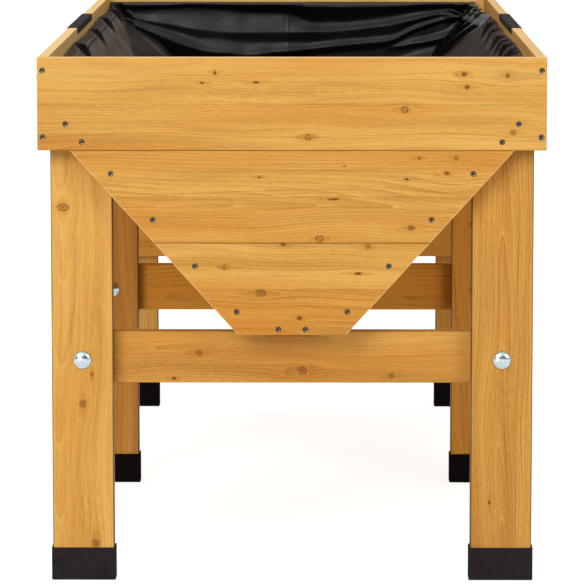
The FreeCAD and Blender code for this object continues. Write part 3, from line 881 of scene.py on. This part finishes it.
work = bmesh.new()
section = chamfered(WASHER_IN, WASHER_OUT, WASHER_THICK, WASHER_EDGE)
ring = [(radius, z - BOLT_GRIP - WASHER_THICK) for radius, z in (*section, section[0])]
turned(work, ring, BOLT_SIDES)
bmesh.ops.remove_doubles(work, verts=work.verts, dist=1e-6)
washers = copied(work, bolt_places, "plain_washers")
stands_for(washers, "bolt_washers", bright_zinc)

work = bmesh.new()
nut_bottom = -BOLT_GRIP - WASHER_THICK - NUT_HEIGHT
face_circle = 0.95 * NUT_FLATS / 2
columns = []
for k in range(NUT_STEPS):
    angle = 2 * math.pi * k / NUT_STEPS
    from_flat = (angle + math.pi / 6) % (math.pi / 3) - math.pi / 6
    hexagon = NUT_FLATS / 2 / math.cos(from_flat)
    bevel = (hexagon - face_circle) * math.tan(math.radians(30))
    lower = [(NUT_BORE, NUT_LEAD_IN), (NUT_BORE + NUT_LEAD_IN, 0)]
    lower += [(face_circle, 0), (hexagon, bevel)]
    section = lower + [(radius, NUT_HEIGHT - z) for radius, z in reversed(lower)]
    column = [round_z(radius, angle, nut_bottom + z) for radius, z in section]
    columns.append([work.verts.new(corner) for corner in column])
for column, beside in zip(columns, columns[1:] + columns[:1]):
    for step in range(len(column)):
        further = (step + 1) % len(column)
        work.faces.new([column[step], beside[step], beside[further], column[further]])
nuts = copied(work, bolt_places, "hexagon_nuts")
stands_for(nuts, "bolt_nuts", bright_zinc, sharp_degrees=20)
print("faces of the washers and nuts:", len(washers.data.polygons), len(nuts.data.polygons))

# %% A countersunk screw
HEAD_RADIUS, HEAD_SINK, HEAD_RING = 4.7 * MM, 0.5 * MM, 3.3 * MM
HEAD_LIP, HEAD_EDGE, HEAD_CHAMFER, CONE_DEPTH = 0.45 * MM, 0.2 * MM, 0.25 * MM, 3.1 * MM
DISH_RADIUS, DISH_DEPTH = 2.95 * MM, 0.22 * MM
SCREW_LENGTH = 32 * MM
SCREW_ROOT, SCREW_CREST, SCREW_PITCH, SCREW_TAPER = 1.45 * MM, 2.2 * MM, 2.0 * MM, 5 * MM
CROSS_ARM, CROSS_HALF, CROSS_DEPTH, CROSS_NARROWS = 2.7 * MM, 0.75 * MM, 2.2 * MM, 0.45
CROSS_TIP = CROSS_HALF * 0.8
SCREW_SIDES, SCREW_THREAD_SIDES = 24, 16


def countersunk_screw():
    """Screw along -Z, its head at the origin: cross recess, cone, plain neck and thread."""
    work = bmesh.new()
    top = -HEAD_SINK
    dish = top - DISH_DEPTH
    neck = [(SCREW_ROOT, -11 * MM), (1.7 * MM, -7 * MM), (1.9 * MM, top - CONE_DEPTH)]
    head = [(HEAD_RADIUS, top - HEAD_LIP), (HEAD_RADIUS, top - HEAD_EDGE)]
    head += [(HEAD_RADIUS - HEAD_CHAMFER, top), (HEAD_RING, top), (DISH_RADIUS, dish)]
    rings = turned(work, neck + head, SCREW_SIDES)
    arm = (CROSS_HALF, -CROSS_HALF), (CROSS_ARM, -CROSS_TIP), (CROSS_ARM, CROSS_TIP)
    outline = []
    for quarter in range(4):
        spin = Matrix.Rotation(quarter * math.pi / 2, 3, "Z")
        outline += [spin @ Vector((x, y, dish)) for x, y in arm]
    mouth = [work.verts.new(c) for c in outline]
    narrowed = [(c.x * CROSS_NARROWS, c.y * CROSS_NARROWS, top - CROSS_DEPTH) for c in outline]
    deepest = [work.verts.new(c) for c in narrowed]
    edges = []
    for loop in (rings[-1], mouth):
        for ends in zip(loop, loop[1:] + loop[:1]):
            edges.append(work.edges.get(ends) or work.edges.new(ends))
    bmesh.ops.triangle_fill(work, edges=edges, use_beauty=True, normal=(0, 0, 1))
    for k in range(len(mouth)):
        further = (k + 1) % len(mouth)
        work.faces.new([mouth[further], mouth[k], deepest[k], deepest[further]])
    work.faces.new(deepest)
    height = -SCREW_LENGTH, -9 * MM
    thread(work, SCREW_ROOT, SCREW_CREST, SCREW_PITCH, *height, SCREW_THREAD_SIDES, SCREW_TAPER)
    bmesh.ops.recalc_face_normals(work, faces=work.faces)
    # The outer ring of the head and the inside of the cross take the second material, painted shade.
    for face in work.faces:
        middle = face.calc_center_median()
        distance = math.hypot(middle.x, middle.y)
        on_ring = middle.z > top - 0.3 * MM and distance > HEAD_RING - 0.1 * MM
        in_cross = middle.z < dish - 0.1 * MM and distance < CROSS_ARM
        if on_ring or in_cross:
            face.material_index = 1
    return work


print("screw in mm: length", round(SCREW_LENGTH / MM), "head", round(2 * HEAD_RADIUS / MM, 1))

# %% Screws in their places
END_SCREWS_MM = (
    (337.9, 700.5), (313.5, 673.5), (270.7, 626), (208.4, 557), (145.2, 487), (82.9, 418),
    (372, 780.3), (372, 680.7), (20.3, 391.5),
)
FOOT = Vector((37.95, 0, 398)) * MM
SIDE_THICK, COURSE, COURSE_GAP = 14 * MM, 119.3 * MM, 3 * MM
END_FACE_Y, RIM_FACE_X, KEEL_SCREW_X, KEEL_TOP_Z = 900 * MM, 380 * MM, 20.3 * MM, 398 * MM
BOTH = (-1, 1)
end_places = [
    ((side * x * MM, end * END_FACE_Y, z * MM), (0, end, 0))
    for end in BOTH
    for side in BOTH
    for x, z in END_SCREWS_MM
]
rim_places = [
    ((side * RIM_FACE_X, y * MM, z * MM), (side, 0, 0))
    for side in BOTH
    for y in (-840, 0, 840)
    for z in (681, 723)
]
keel_places = [
    ((side * KEEL_SCREW_X, y * MM, KEEL_TOP_Z), (0, 0, 1))
    for side in BOTH
    for y in (-810, 23, 37, 810)
]
side_places = []
for course in range(4):
    up = COURSE / 2 + course * (COURSE + COURSE_GAP)
    for y in (-862, -8.5, 8.5, 862):
        point = FOOT + UP_SLOPE * up + OFF_SLOPE * SIDE_THICK + Y_AXIS * y * MM
        side_places += [(point, OFF_SLOPE), (MIRROR @ point, MIRROR @ OFF_SLOPE)]

screw_turns = random.Random(77)
for node, places in (
    ("end_panel_screws", end_places),
    ("rim_to_leg_screws", rim_places),
    ("keel_screws", keel_places),
    ("side_board_screws", side_places),
):
    # Each screw stops at its own angle.
    turns = [(point, direction, screw_turns.uniform(0, math.pi / 2)) for point, direction in places]
    screws = copied(countersunk_screw(), turns, "cross_head_" + node)
    stands_for(screws, node, grey_zinc)
    # The second material is painted shade on the rings and in the crosses of the heads.
    dress(screws, shaded_zinc)
    corners = [[round(v, 4) for v in corner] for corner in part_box(node)]
    print(node, len(places), "construction box", corners)

# %% [markdown]
# ## The fabric liner
# A black woven polypropylene bag, sewn from a strip for the two slopes and the floor and a
# V-shaped piece at each end. It is cut a little too large and stapled along the rim. So the long
# sides belly out between the staples, the ends sag in swags from corner to corner, and spare cloth
# is gathered in the corners. A cloth simulation would lose the swags that this bag has. So it is
# first sewn as a plain V, with a fine mesh near the hem, and then every fold is laid into it by
# moving its points.

# %% The liner's section
FINE, COARSE, FINE_RUN = 4 * MM, 13 * MM, 150 * MM
ROW_STEP, END_STEP = 6 * MM, 4 * MM
LIE = 1.2 * MM  # from the boards to the middle of the sheet
RIM_IN_X, END_IN_Y = 364 * MM, 884 * MM
FOOT_IN = FOOT + OFF_SLOPE * (SIDE_THICK + LIE)
FLOOR_Z = KEEL_TOP_Z + LIE
BOARD_TOP_Z, HEM_Z = 768.4 * MM, 788 * MM


def slope_point(z):
    """Where the liner lies on the slope at a height."""
    return Vector((FOOT_IN.x + (z - FOOT_IN.z) * UP_SLOPE.x / UP_SLOPE.z, 0, z))


def spaced(start, end, step):
    """Points from a start up to, and without, the end."""
    count = max(1, round((end - start).length / step))
    return [start.lerp(end, k / count) for k in range(count)]


hem_point = Vector((RIM_IN_X - LIE, 0, HEM_Z))
board_top, foot_point = slope_point(BOARD_TOP_Z), slope_point(FLOOR_Z)
floor_middle = Vector((0, 0, FLOOR_Z))
fine_end = board_top.lerp(foot_point, FINE_RUN / (foot_point - board_top).length)
slope_half = spaced(hem_point, board_top, FINE) + spaced(board_top, fine_end, FINE)
slope_half += spaced(fine_end, foot_point, COARSE)
foot_index = len(slope_half)
right_half = slope_half + spaced(foot_point, floor_middle, COARSE)
section = [MIRROR @ p for p in right_half] + [floor_middle] + right_half[::-1]
half_y = END_IN_Y - LIE
row_count = round(2 * half_y / ROW_STEP)
row_ys = [-half_y + 2 * half_y * k / row_count for k in range(row_count + 1)]
girth = sum((a - b).length for a, b in zip(section, section[1:]))
print("liner: girth", round(girth, 3), "m, rows", len(row_ys), "points across", len(section))

# %% Sewing the bag
bag = bmesh.new()
rows = [[bag.verts.new((p.x, y, p.z)) for p in section] for y in row_ys]
for near, far in zip(rows, rows[1:]):
    for k in range(len(section) - 1):
        bag.faces.new([near[k], far[k], far[k + 1], near[k + 1]])


def sew_end(edge_row):
    """Fills a V-shaped end from the hem down. Each row has as many stitches as fit its width."""
    levels = []
    last = len(section) - 1
    for k in range(foot_index):
        left, right = edge_row[k], edge_row[last - k]
        count = max(2, round((right.co - left.co).length / END_STEP))
        between = [bag.verts.new(left.co.lerp(right.co, j / count)) for j in range(1, count)]
        levels.append([left, *between, right])
    levels.append(edge_row[foot_index : last - foot_index + 1])
    for upper, lower in zip(levels, levels[1:]):
        a = b = 0
        while a < len(upper) - 1 or b < len(lower) - 1:
            # The next triangle goes to the row that has got less far across.
            step_upper = (a + 1) / (len(upper) - 1) if a < len(upper) - 1 else 2.0
            step_lower = (b + 1) / (len(lower) - 1) if b < len(lower) - 1 else 2.0
            if step_upper <= step_lower:
                corners = [upper[a], upper[a + 1], lower[b]]
                a += 1
            else:
                corners = [upper[a], lower[b + 1], lower[b]]
                b += 1
            bag.faces.new(corners).material_index = 1
    return levels


end_levels = {-1: sew_end(rows[0]), 1: sew_end(rows[-1])}
level_heights = [p.z for p in section[: foot_index + 1]]
bmesh.ops.recalc_face_normals(bag, faces=bag.faces)
print("liner points:", len(bag.verts))

# %% [markdown]
# ### The long sides
# At each staple the sheet lies tight against the rim and the board. Between two staples it bellies
# out just below the hem. Further down it lies on the boards, with slight waves. In the corners it
# doesn't fill the angle: in two of them it bends along a crease and crosses to the end wall as a
# flat web, and in the other two the seam itself comes forward at the top.

# %% Bellies, waves and webs of the long sides
BELLY, BELLY_DEEPEST, BELLY_RUN = 14 * MM, 14 * MM, 64 * MM
BELLY_UNEVEN, UNEVEN_ALONG = 0.15, 19
# The sheet swells steeply behind a staple and goes down slowly to the next one.
BELLY_RISE, BELLY_FALL = 24 * MM, {"left": 160 * MM, "right": 70 * MM}
STAPLES_MM = {
    "left": (-835, -570, -276, 161, 489, 800),
    "right": (-840, -720, -600, -451, -395, -277, -154, -21, 171, 330, 480),
}
SIDE_HEM_DROP, HEM_DIP, DIPS_ALONG, HEM_IN = 8 * MM, 2 * MM, 9, 3 * MM
WAVE_LIFT, WAVES_ALONG, WAVES_UP = 2.4 * MM, 7, 10
# A web opens downwards from its top. A forward seam opens upwards from its bottom. Both have a
# longest reach, and the front end's are shorter.
WEB_TOP, WEB_MOST, WEB_OPENS, WEB_STEEP, WEB_SEAM = 752 * MM, 430 * MM, 10, 0.085, 0.6
WEB_EASE = 220 * MM
SEAM_BOTTOM, SEAM_MOST, SEAM_OPENS, SEAM_RUN = 653 * MM, 320 * MM, 3.0, 1.5
FRONT_SHARE = 0.7
CORNER_RUN = 60 * MM


def eased(share):
    """0 to 1 with soft ends."""
    share = max(0.0, min(1.0, share))
    return share * share * (3 - 2 * share)


def belly(y, side):
    """How full the sheet is at a place along the bed: 0 at a staple, 1 between staples."""
    full = 1.0
    for staple_mm in STAPLES_MM[side]:
        past = y - staple_mm * MM
        full = min(full, eased(past / BELLY_RISE if past > 0 else -past / BELLY_FALL[side]))
    return full * (1 - BELLY_UNEVEN + BELLY_UNEVEN * math.sin(UNEVEN_ALONG * y))


def web(side, end, z):
    """How far a corner's web reaches at a height, its steepness, and how far its seam comes."""
    strength = 1.0 if end > 0 else FRONT_SHARE
    if (side == "left") == (end > 0):
        opened = min(WEB_MOST, WEB_OPENS * max(0.0, WEB_TOP - z))
        run = strength * opened * eased((z - FLOOR_Z) / WEB_EASE)
        return run, WEB_STEEP, WEB_SEAM * run
    forward = strength * min(SEAM_MOST, SEAM_OPENS * max(0.0, z - SEAM_BOTTOM))
    return SEAM_RUN * forward, 0.0, forward


def side_point(point):
    """Where a point of the plain strip lies when the folds are in it."""
    side, out = ("left", -1) if point.x < 0 else ("right", 1)
    end = 1 if point.y > 0 else -1
    to_end = half_y - abs(point.y)
    x, y, z = abs(point.x), point.y, point.z
    if z < FLOOR_Z + 1e-6:
        return point
    run, steep, forward = web(side, end, z)
    clear = eased(to_end / max(CORNER_RUN, run))
    full = clear * belly(y, side)
    below_hem = (HEM_Z - z) / UP_SLOPE.z
    waves = max(0.0, noise.noise(Vector((WAVES_ALONG * y, WAVES_UP * z, out))))
    rise, fall = below_hem / BELLY_DEEPEST, (BELLY_RUN - below_hem) / (BELLY_RUN - BELLY_DEEPEST)
    off = BELLY * full * eased(rise) * eased(fall)
    off += clear * WAVE_LIFT * waves * eased(below_hem / BELLY_RUN)
    if z > BOARD_TOP_Z:
        upper = (z - BOARD_TOP_Z) / (HEM_Z - BOARD_TOP_Z)
        drop = SIDE_HEM_DROP + HEM_DIP * math.sin(DIPS_ALONG * y + 1)
        z -= upper * (clear if steep else 1.0) * drop
        x -= upper * HEM_IN * full
    x += OFF_SLOPE.x * off
    z += OFF_SLOPE.z * off * (1 if point.z < BOARD_TOP_Z else 0.3)
    if run:
        x -= steep * max(0.0, run - to_end)
        y -= end * forward * (1 - to_end / run if to_end < run else 0.0)
    return Vector((out * x, y, z))


for row in rows:
    for vertex in row:
        vertex.co = side_point(vertex.co)
print("bellies:", {side: len(staples) - 1 for side, staples in STAPLES_MM.items()})

# %% [markdown]
# ### The ends
# Each swag is one fold that runs from corner to corner. Its line is given by points, its upper
# side slopes out from the wall and catches the light, and its underside turns back and stays dark.
# Above the swags the hem rolls over. In the corners the spare cloth is pinched into knots of short
# pleats, or hangs in upright pleats where the seam comes forward.

# %% Lines of the swags
# Places along a fold as (across, height of the middle of its upper side, how far it stands out,
# how high its upper side and its underside are).
SWAGS_MM = (
    ((-335, 764, 3, 10, 20), (-286, 758, 3, 16, 14), (-247, 756, 4.5, 25, 16),
     (-208, 754, 5.6, 34, 40), (-169, 753, 6.6, 42, 60), (-130, 749, 6.2, 40, 60),
     (-91, 746, 6.4, 36, 60), (-14, 747, 7, 36, 50), (25, 739, 6, 16, 40), (64, 739, 6, 16, 40),
     (103, 742, 6, 16, 36), (142, 746, 6, 14, 34), (181, 751, 6, 15, 30), (220, 759, 6, 13, 14),
     (259, 766, 5, 10, 8), (298, 771, 4, 8, 8), (335, 768, 4, 8, 8)),
    ((-332, 753, 5, 6, 20), (-286, 739, 11, 10, 36), (-247, 726, 12, 21, 36),
     (-208, 712, 10, 22, 30), (-169, 705, 10, 30, 40), (-130, 703, 9.5, 28, 40),
     (-91, 698, 9, 28, 40), (-52, 701, 8, 22, 24), (-14, 702, 7.5, 20, 14), (25, 704, 7, 16, 12),
     (64, 708, 7, 14, 12), (103, 712, 7, 14, 12), (142, 715, 7, 14, 12), (181, 719, 7, 14, 12),
     (196, 724, 4, 12, 8), (220, 738, 6, 9, 8), (259, 751, 6, 8, 8), (298, 762, 5, 8, 6),
     (335, 764, 4, 8, 6)),
    ((196, 706, 2, 12, 8), (220, 712, 4, 12, 8), (259, 718, 7, 12, 8), (298, 730, 7, 16, 8),
     (330, 748, 5, 12, 6)),
    ((-290, 690, 5, 14, 20), (-200, 662, 9, 24, 24), (0, 648, 9, 24, 14), (200, 672, 9, 24, 14),
     (270, 695, 6, 16, 12)),
    ((-230, 645, 8, 24, 14), (-100, 608, 8, 24, 14), (0, 602, 8, 24, 14), (120, 612, 8, 24, 14),
     (225, 648, 8, 24, 14)),
    ((-170, 575, 6, 24, 14), (0, 545, 6, 24, 14), (165, 578, 6, 24, 14)),
)
# The hem's roll as (across, how high the roll is, at which height the sheet is back at the wall).
HEM_ROLL_MM = (
    (-340, 5, 772), (-240, 5, 776), (-205, 1, 778), (-150, 1, 774), (-110, 3, 768), (-50, 3, 766),
    (-12, 1, 766), (25, 6, 748), (110, 6, 750), (215, 5, 768), (260, 1, 774), (340, 1, 776),
)
HEM_OUT_MM = 10
LINE_ROUNDING_MM = 12
SWAG_FADE_MM, SWAG_SWELL = 30, 1.5
SWAG_UNEVEN, UNEVEN_PER_MM = 0.15, 0.011
RIPPLE_MM, RIPPLES_PER_MM = 1.2, 0.026


def along(line, x_mm):
    """A line's numbers at a place across, its corners rounded, and how far that is past its ends."""
    total = Vector.Fill(len(line[0]) - 1)
    for near in (-LINE_ROUNDING_MM, 0, LINE_ROUNDING_MM):
        x = max(line[0][0], min(line[-1][0], x_mm + near))
        k = max(1, next((k for k, p in enumerate(line) if p[0] >= x), len(line) - 1))
        (x0, *first), (x1, *second) = line[k - 1], line[k]
        total += Vector(first).lerp(Vector(second), (x - x0) / (x1 - x0)) / 3
    return (*total, max(line[0][0] - x_mm, x_mm - line[-1][0], 0))


def swag_height(x_mm, z_mm):
    """How far an end wall stands out at a place across and a height, in millimetres."""
    ripple = Vector((RIPPLES_PER_MM * x_mm, 0.3, RIPPLES_PER_MM * z_mm))
    height = RIPPLE_MM * (1 + noise.noise(ripple))
    roll, tuck, _ = along(HEM_ROLL_MM, x_mm)
    hem_mm = HEM_Z / MM
    rolled = HEM_OUT_MM * eased((hem_mm - z_mm) / roll)
    height += rolled * eased((z_mm - tuck) / (hem_mm - roll - tuck))
    for number, line in enumerate(SWAGS_MM):
        middle, out, upper, under, beyond = along(line, x_mm)
        down = middle + upper / 2 - z_mm
        share = max(0.0, min(1.0, down / upper)) ** SWAG_SWELL
        share *= max(0.0, 1 - max(0.0, down - upper) / under)
        uneven = 1 + SWAG_UNEVEN * noise.noise(Vector((UNEVEN_PER_MM * x_mm, number, 0)))
        height += out * uneven * share * eased(1 - beyond / SWAG_FADE_MM)
    return height


print("folds on each end:", len(SWAGS_MM), "first", round(swag_height(-91, 735), 1), "mm high")

# %% Corners of the ends
# Knots of pleats as (across, height, reach, pleats, how far they stand out).
KNOTS_MM = ((331, 764, 50, 7, 14), (-346, 772, 30, 5, 7))
KNOT_TURN, KNOT_TWIST, KNOT_MIDDLE = 0.8, 2, 0.3
# Beside a web the end piece goes back behind the seam, over a run, and eases out again.
BEHIND, BEHIND_SHARE, BEHIND_RUN, BEHIND_EASE = 30 * MM, 0.3, 22 * MM, 60 * MM
# Where the seam comes forward, the end piece comes back to the wall close to it, and then hangs in
# upright pleats.
SEAM_RETURN, SEAM_THICK = 0.03, 6 * MM
PLEATS, PLEAT_DEEP, PLEATED_RUN, PLEATED_EASE = 4, 17 * MM, 0.28, 300 * MM
PLEAT_FULL, PLEAT_TWIST, PLEAT_STEEP, PLEAT_ENDS = 160 * MM, 0.01, 0.3, 8
HANG_FROM, HANG_EASE = 0.6, 12 * MM


def knot_height(x, z):
    """How far the pleats of the knots stand out at a place across and a height."""
    height = 0.0
    for across, level, reach, pleats, out_mm in KNOTS_MM:
        away = Vector((x / MM - across, z / MM - level))
        near = away.length / reach
        if near < 1:
            turn = pleats * math.atan2(away.y, away.x) + KNOT_TURN + KNOT_TWIST * near
            pleat = out_mm * MM * (0.5 + 0.5 * math.cos(turn))
            height += pleat * eased(near / KNOT_MIDDLE) * eased((1 - near) / (1 - KNOT_MIDDLE))
    return height


def behind_web(away, forward):
    """Beside a web: how near the seam is, how far the piece goes outward, and the run of that."""
    near = 1 - eased(away / BEHIND_RUN)
    most = min(BEHIND, BEHIND_SHARE * forward)
    outward = most * (1 - near) * (1 - eased((away - BEHIND_RUN) / BEHIND_EASE))
    return near, outward, BEHIND_RUN


def beside_seam(away, forward, z):
    """Where the seam comes forward: how near it is, how far pleats go outward, and their run."""
    thick = SEAM_RETURN * forward + SEAM_THICK
    run = thick + PLEATED_RUN * forward
    share = min(1.0, away / run)
    near = 1 - share
    outward = (run - thick) * share * (1 - eased((away - run) / PLEATED_EASE))
    turn = (PLEATS * share + PLEAT_TWIST * (z - HEM_Z) / MM) % 1
    saw = turn / PLEAT_STEEP if turn < PLEAT_STEEP else (1 - turn) / (1 - PLEAT_STEEP)
    outward -= PLEAT_DEEP * min(1.0, forward / PLEAT_FULL) * saw * eased(PLEAT_ENDS * share * near)
    return near, outward, run


def end_point(flat_x, level_z, seams, end):
    """Where a point of a plain end lies when the folds are in it, between its two seams."""
    x, z, out, hung = flat_x, level_z, 0.0, 1.0
    for seam in seams:
        forward = half_y - abs(seam.y)
        away = abs(flat_x - seam.x)
        if seam.x * end < 0:
            near, outward, run = behind_web(away, forward)
        else:
            near, outward, run = beside_seam(away, forward, level_z)
        out += forward * near
        z += (seam.z - level_z) * near
        hung *= eased((away - HANG_FROM * run) / HANG_EASE)
        x += math.copysign(outward, seam.x)
    fold = swag_height(end * x / MM, level_z / MM) * MM + knot_height(end * x, level_z)
    return x, end * (half_y - out - hung * fold), z


for end, levels in end_levels.items():
    for level, level_z in zip(levels[:-1], level_heights):
        seams = level[0].co, level[-1].co
        for k, vertex in enumerate(level[1:-1], 1):
            flat_x = seams[0].lerp(seams[1], k / (len(level) - 1)).x
            vertex.co = end_point(flat_x, level_z, seams, end)
bmesh.ops.recalc_face_normals(bag, faces=bag.faces)
for face in bag.faces:
    face.smooth = True
bag_mesh = bpy.data.meshes.new("liner_bag")
bag.to_mesh(bag_mesh)
bag.free()
liner = put("fabric_liner", bag_mesh)
print("liner faces:", len(bag_mesh.polygons))

# %% [markdown]
# ### Woven polypropylene
# The cloth is woven from black plastic tape. On the long strip its dull side shows, with a soft
# sheen where one looks along it, and on the ends its pressed side, which is smoother and catches
# the light on every fold. Both have the weave, small crumples, the creases of packing, and grey
# dust where it settles in the bottom of the trough.

# %% Woven fabric
THREAD_MM = 2.4  # really about 0.8 mm; drawn coarser so that it shows
CRUMPLE_MM, PATCH_MM = 26.0, 120
FOLD_SPACING, CREASE = 300 * MM, 3.5 * MM  # the bag came folded, and the folds still show
PACKING_FOLDS = (("X", 0.018), ("Y", 0.11))
# The colour of the dust, and the heights between which it settles.
DUST, DUST_BEGINS, DUST_FULL = "#544d45", 672 * MM, 540 * MM


def woven_fabric(name, dark, pale, rough, specular, sheen):
    """Woven black polypropylene tape: satin, with a fine weave, crumples, creases and dust."""
    material, add = new_material(name)
    place = add("TexCoord").outputs["Object"]
    axes = add("SeparateXYZ", place).outputs
    tape = {"Vector": place, "Scale": WAVE_PERIOD / (THREAD_MM * MM)}
    tape |= {"Distortion": 0.6, "Detail Scale": 2.0}
    weave = [add("TexWave", tape, bands_direction=way).outputs["Fac"] for way in ("Y", "Z")]
    threads = add("MULTIPLY", *weave)
    crumple = {"Vector": place, "Scale": 1 / (CRUMPLE_MM * MM), "Detail": 3.0, "Distortion": 1.2}
    crumple = add("TexNoise", crumple)
    creases = []
    for axis, offset in PACKING_FOLDS:
        folded = add("ADD", axes[axis], offset + FOLD_SPACING / 2)
        folded = add("PINGPONG", folded, FOLD_SPACING / 2)
        creases.append(add("MapRange", folded, FOLD_SPACING / 2 - CREASE, FOLD_SPACING / 2))
    crease = add("MAXIMUM", *creases)
    large = add("MULTIPLY_ADD", crease, 0.35, crumple)

    patches = {"Vector": place, "Scale": 1 / (PATCH_MM * MM), "Detail": 5.0, "Roughness": 0.65}
    patches = add("TexNoise", patches)
    tint = add("ValToRGB", patches, stops=((0.35, dark), (0.75, pale)))
    dust = add("MapRange", axes["Z"], DUST_BEGINS, DUST_FULL)
    dust = add("MULTIPLY", dust, patches)
    tint = add("Mix", {"Factor": dust, 6: tint, 7: DUST}, data_type="RGBA")
    gloss = add("MapRange", patches, 0.3, 0.7, rough - 0.04, rough + 0.06)
    bump = add("Bump", {"Height": large, "Strength": 0.35, "Distance": 1.2 * MM})
    bump = add("Bump", {"Height": threads, "Strength": 0.12, "Distance": 0.2 * MM, "Normal": bump})
    skin = {"Base Color": tint, "Roughness": gloss, "Normal": bump}
    skin |= {"IOR": 1.49, "Specular IOR Level": specular}
    skin |= {"Sheen Weight": sheen, "Sheen Roughness": 0.22, "Sheen Tint": "#c2ae9b"}
    add("OutputMaterial", add("BsdfPrincipled", skin))
    return material


for side, *look in (
    ("dull_side", "#070505", "#0e0b09", 0.7, 0.03, 0.5),
    ("pressed_side", "#070605", "#100d0b", 0.33, 0.24, 0.1),
):
    dress(liner, woven_fabric("woven_polypropylene_" + side, *look))
thick = liner.modifiers.new("thick", "SOLIDIFY")
thick.thickness = 0.8 * MM
thick.offset = 0.0
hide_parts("liner")
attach(liner, "root")
